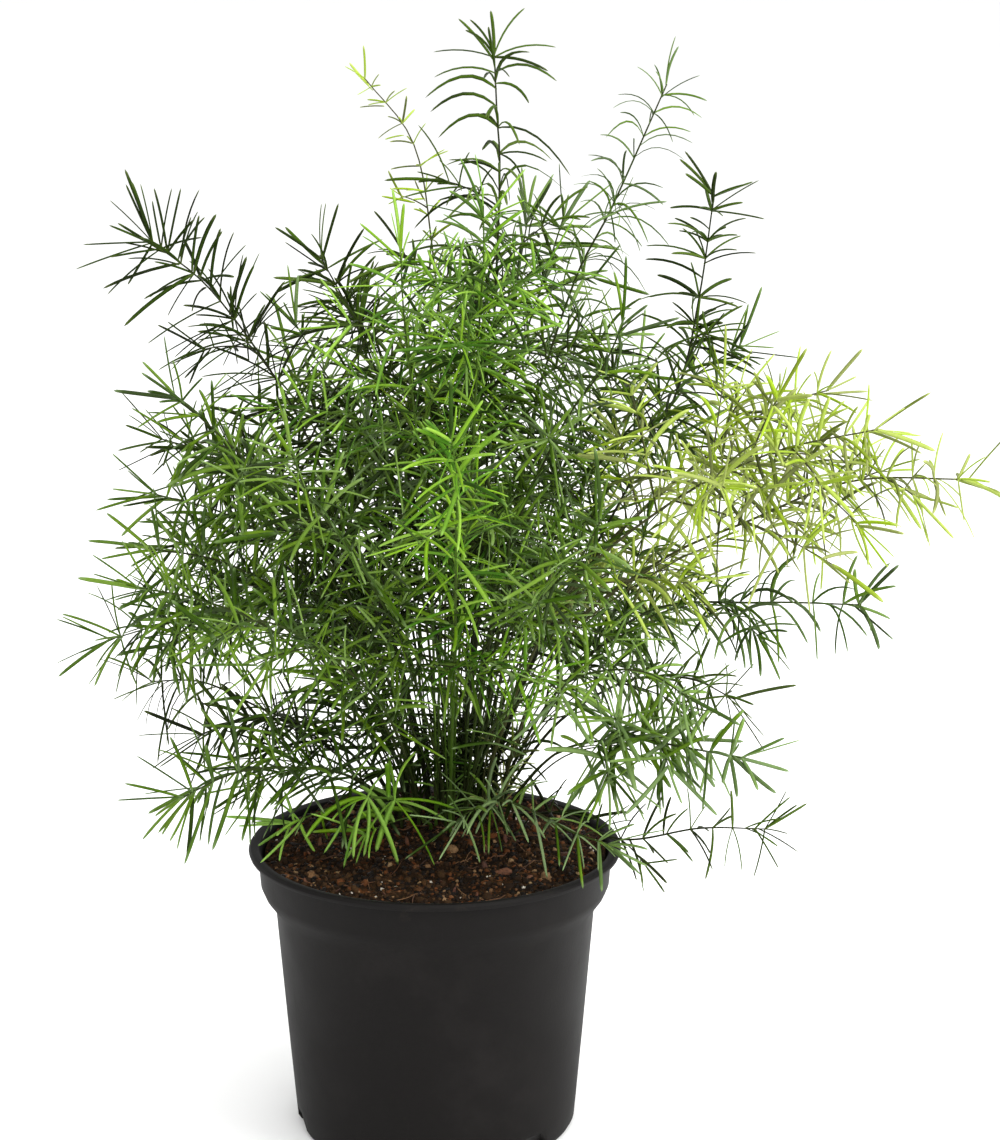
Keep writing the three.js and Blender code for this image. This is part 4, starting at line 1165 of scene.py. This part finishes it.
def addReeds(rng, stem):
    # thin shoots without twigs that rise close by a stem, with a few cladodes near their tips
    path, full = stem["smooth"].corners, growth["cladodeLength"]
    for _ in range(stem["reeds"]):
        last = int(len(path) * between(*stem["reedReach"], rng.random()))
        turn, apart = math.tau * rng.random(), between(*stem["reedApart"], rng.random())
        aside = apart * np.array((math.cos(turn), math.sin(turn), 0.0))
        reed = Chain(path[1:last] + aside * np.linspace(0, 1, last - 1)[:, None] ** 0.7)
        stem["reedPaths"].append(reed.corners)
        for distance in (0.6, 9.0):
            addCluster(rng, stem, reed, distance, 3, stem["reedOpening"], full, stem["reedLength"], 0.1)


def fillStem(thicket, stem):
    # what the scene adds to the twigs and cladodes of the solids
    rng = np.random.default_rng(700 + stem["number"])
    moreTwigs(thicket, stem, rng)
    size, smooth = stem["size"] * growth["cladodeLength"], stem["smooth"]
    for distance, number, *lengths in stem["stars"]:
        addCluster(rng, stem, smooth, distance, number, stem["opening"], size, lengths, 0.6)
    start = max([star[0] + 9 for star in stem["stars"]], default=0)
    leafy = stem["chain"].length * stem["leafyShare"]
    moreCladodes(rng, stem, smooth, start, leafy, stem["nodeSpacing"], stem["stemLength"])
    addTuft(rng, stem)
    addReeds(rng, stem)
    for distance, *toTip in stem["needles"]:
        length = float(np.linalg.norm(toTip))
        root = smooth.fromEnd(distance)[0]
        stem["cladodes"].append((root, np.array(toTip) / length, length, 0.4, limpAt(stem, distance)))
    for twig in stem["twigs"]:
        chain = twig["smooth"]
        moreCladodes(rng, stem, chain, 0, chain.length - 3, stem["twigNodeSpacing"], stem["twigLength"])


def report(words, stems):
    twigs, cladodes = (sum(len(stem[part]) for stem in stems) for part in ("twigs", "cladodes"))
    print(words, twigs, "twigs,", cladodes, "cladodes")


def growPlant():
    thicket = Thicket()
    stems = [plantStem(i, name) for i, name in enumerate(stemRoutes)]
    for stem in stems:
        thicket.keep(stem["chain"].runs(), growth["stemRadius"], stem["number"])
    for stem in stems:
        firstTwigs(thicket, stem)
    for stem in stems:
        firstCladodes(thicket, stem, stem["number"], stem["chain"], 0, 4)
        for twig in stem["twigs"]:
            firstCladodes(thicket, stem, twig["shoot"], twig["chain"], 100 * twig["node"], 1)
    report("main growth:", stems)
    for stem in stems:
        fillStem(thicket, stem)
    report("full growth:", stems)
    return stems


# cladodes: one narrow keeled blade, copied to every place

bladeValues = {
    "width": 1.6, "thickness": 0.75, "slimmest": 0.66, "widest": 1.1, "shortest": 7.0,
    "rings": [
        # height, and shares of the width and the thickness
        (0.0, 0.42, 1.0), (0.07, 0.76, 1.0), (0.22, 1.0, 1.0), (0.38, 1.0, 1.0), (0.54, 1.0, 1.0),
        (0.7, 0.99, 0.98), (0.84, 0.93, 0.92), (0.95, 0.68, 0.7),
    ],
    "roll": 88.0, "arch": (-0.05, 0.5), "droop": 0.3, "boxRoom": 1.6,
    "shadedBelow": 235.0, "shadeDepth": 60.0, "shadedWithin": 80.0, "shadeEdge": 25.0,
    # sides of a shoot, shares of its length, and its radii there
    "stem": (6, (0, 0.3, 0.75, 1), (0.72, 0.6, 0.48, 0.3)), "twig": (5, (0, 0.2, 1), (0.46, 0.38, 0.26)),
    "reedRadii": (0.46, 0.26),
}


def modelBlade():
    # a square bar, cut into rings; each is sized and sent 100 up, then the top is merged into a tip
    rings = bladeValues["rings"]
    bpy.ops.mesh.primitive_cylinder_add(vertices=4, radius=0.5, depth=1, location=(0, 0, 0.5))
    blade = bpy.context.object
    bpy.ops.object.mode_set(mode="EDIT")
    selectPlaces(blade, lambda p, q: abs(p.z - q.z) > 0.5, "EDGE")
    bpy.ops.mesh.subdivide(number_cuts=len(rings) - 1)
    for i, (height, wide, thick) in enumerate(rings):
        even = i / len(rings) - 0.5
        selectPlaces(blade, lambda p: abs(p.z - even) < 0.02)
        bpy.ops.transform.resize(value=(wide, thick, 1), center_override=(0, 0, 0))
        bpy.ops.transform.translate(value=(0, 0, height - 0.5 - even + 100))
    selectPlaces(blade, lambda p: abs(p.z - 0.5) < 0.02)
    bpy.ops.mesh.merge(type="CENTER")
    selectPlaces(blade, lambda p: p.z > 50)
    bpy.ops.transform.translate(value=(0, 0, -100))
    bpy.ops.object.mode_set(mode="OBJECT")
    return takeShape(blade)


def wrapMap(places, faces):
    # a map that goes once round a long shape and once along it
    patch = []
    for face in faces:
        isOff = [abs(places[i, 0]) + abs(places[i, 1]) > 1e-6 for i in face]
        turns = [math.atan2(places[i, 1], places[i, 0]) / math.tau for i in face]
        rounds = [t for t, off in zip(turns, isOff) if off]
        if max(rounds) - min(rounds) > 0.5:
            turns = [t + 1 if t < 0 else t for t in turns]
            rounds = [t for t, off in zip(turns, isOff) if off]
        middle = sum(rounds) / len(rounds)
        turns = [t if off else middle for t, off in zip(turns, isOff)]
        patch += [((t + 0.5) / 1.5, places[i, 2]) for i, t in zip(face, turns)]
    return np.array(patch)


def clearOfPot(roots, headings, lengths):
    # lifts what would run into the soil, the pot or the floor; returns what is then clear of them
    def isLow():
        tips = roots + headings * lengths[:, None]
        out = np.hypot(tips[:, 0], tips[:, 1])
        overLip = np.where(out < potValues["lipRadius"] + 3, potValues["lipTop"] + 2.0, 6.0)
        overSoil = moundHeight(tips[:, 0], tips[:, 1]) + 2.6
        return tips[:, 2] < np.where(out < soilValues["openRadius"], overSoil, overLip)

    low = isLow()
    headings[low, 2] = np.maximum(headings[low, 2], 0.0) * 0.5 + 0.12
    headings[low] = unit(headings[low])
    return ~isLow()


def bladeCopies(rng, blade, stem):
    v = bladeValues
    roots, headings, lengths, young, limp = (np.array(part, float) for part in zip(*stem["cladodes"]))
    kept = clearOfPot(roots, headings, lengths)
    room = np.where(headings > 0, boxHigh - v["boxRoom"] - roots, boxLow + v["boxRoom"] - roots)
    lengths = np.minimum(lengths, (room / np.where(headings == 0, 1e-9, headings)).min(axis=1))
    kept &= lengths > v["shortest"]
    roots, headings, lengths, young, limp = (part[kept] for part in (roots, headings, lengths, young, limp))
    number = len(roots)
    level, lift = sidesOf(headings)
    roll = (np.radians(v["roll"]) * (2 * rng.random(number) - 1))[:, None]
    side, face = np.cos(roll) * level + np.sin(roll) * lift, np.cos(roll) * lift - np.sin(roll) * level
    least, most = v["arch"]
    arch = least + (most - least) * limp * (0.3 + 0.7 * rng.random(number))
    sickle = stem["sickle"] * (2 * rng.random(number) - 1)
    slim = between(v["slimmest"], v["widest"], rng.random(number)) * stem["broad"]
    droop = v["droop"] * limp * (0.3 + 0.7 * rng.random(number)) * np.clip(lengths / 20 - 0.4, 0, 1)
    wide = v["width"] * slim * (0.45 + 0.55 * np.minimum(lengths / growth["cladodeLength"], 1.0))
    thick = v["thickness"] * slim
    wide, thick, long, arch, sickle = (part[:, None, None] for part in (wide, thick, lengths, arch, sickle))
    roots, headings, side, face, lift, level = (
        part[:, None] for part in (roots, headings, side, face, lift, level))
    x, y, a = (blade[:, i][None, :, None] for i in range(3))
    copies = (
        roots + headings * (long * a - 0.3 * (1 - a)) + side * wide * x + face * thick * y
        + lift * long * arch * a * (1 - a) + level * long * sickle * a * a)
    copies[..., 2] -= long[..., 0] * droop[:, None] * blade[:, 2] ** 2
    tones = np.zeros((number, len(blade), 3))
    tones[..., 0] = blade[:, 2]
    tone = rng.random(number) * (1 - 0.4 * young) + 0.4 * young
    out = np.hypot(*(roots[:, 0, :2] - soilValues["crown"]).T)
    low = (v["shadedBelow"] - roots[:, 0, 2]) / v["shadeDepth"]
    inside = low.clip(0, 1) * ((v["shadedWithin"] - out) / v["shadeEdge"]).clip(0, 1)
    tones[..., 1] = (between(*stem["tone"], tone) - stem["shaded"] * inside)[:, None]
    # a painted highlight: up to 0.3 of a whitish sheen on some blades
    tones[..., 2] = (0.3 * (stem["paintedHighlight"] * 2 * rng.random(number)).clip(0, 1))[:, None]
    return np.clip(copies, boxLow + 0.3, boxHigh - 0.3), tones


def addShoot(store, rng, corners, kind, size):
    sides, shares, radii = bladeValues[kind]
    radii = np.interp(np.linspace(0, 1, len(corners)), shares, radii)
    addTube(store, corners, radii * (0.6 + 0.4 * size), sides, rng.random())


def makePlant():
    blade, faces = modelBlade()
    patch = wrapMap(blade, faces)
    materials = {green: leafGreen(green) for green in greens}
    total = 0
    for stem in growPlant():
        rng = np.random.default_rng(1300 + stem["number"])
        store = Store()
        addShoot(store, rng, stem["smooth"].corners, "stem", stem["size"])
        for corners in stem["reedPaths"]:
            addTube(store, corners, np.linspace(*bladeValues["reedRadii"], len(corners)), 5, rng.random())
        for twig in stem["twigs"]:
            addShoot(store, rng, twig["smooth"].corners, "twig", stem["size"])
        copies, tones = bladeCopies(rng, blade, stem)
        store.add(copies * mm, faces, patch, tones)
        green = stem["green"]
        piece = store.build(stem["name"] + "_spray", materials[green], f"foliage_{green}_green")
        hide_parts("stem_" + stem["name"])
        total += sum(len(f.vertices) - 2 for f in piece.data.polygons)
    print("plant:", len(stemRoutes), "sprays,", total, "triangles")


makeCamera()
makeStudio()
makePot()
makeSoilBed()
makeSoilCrumbs()
makePlant()
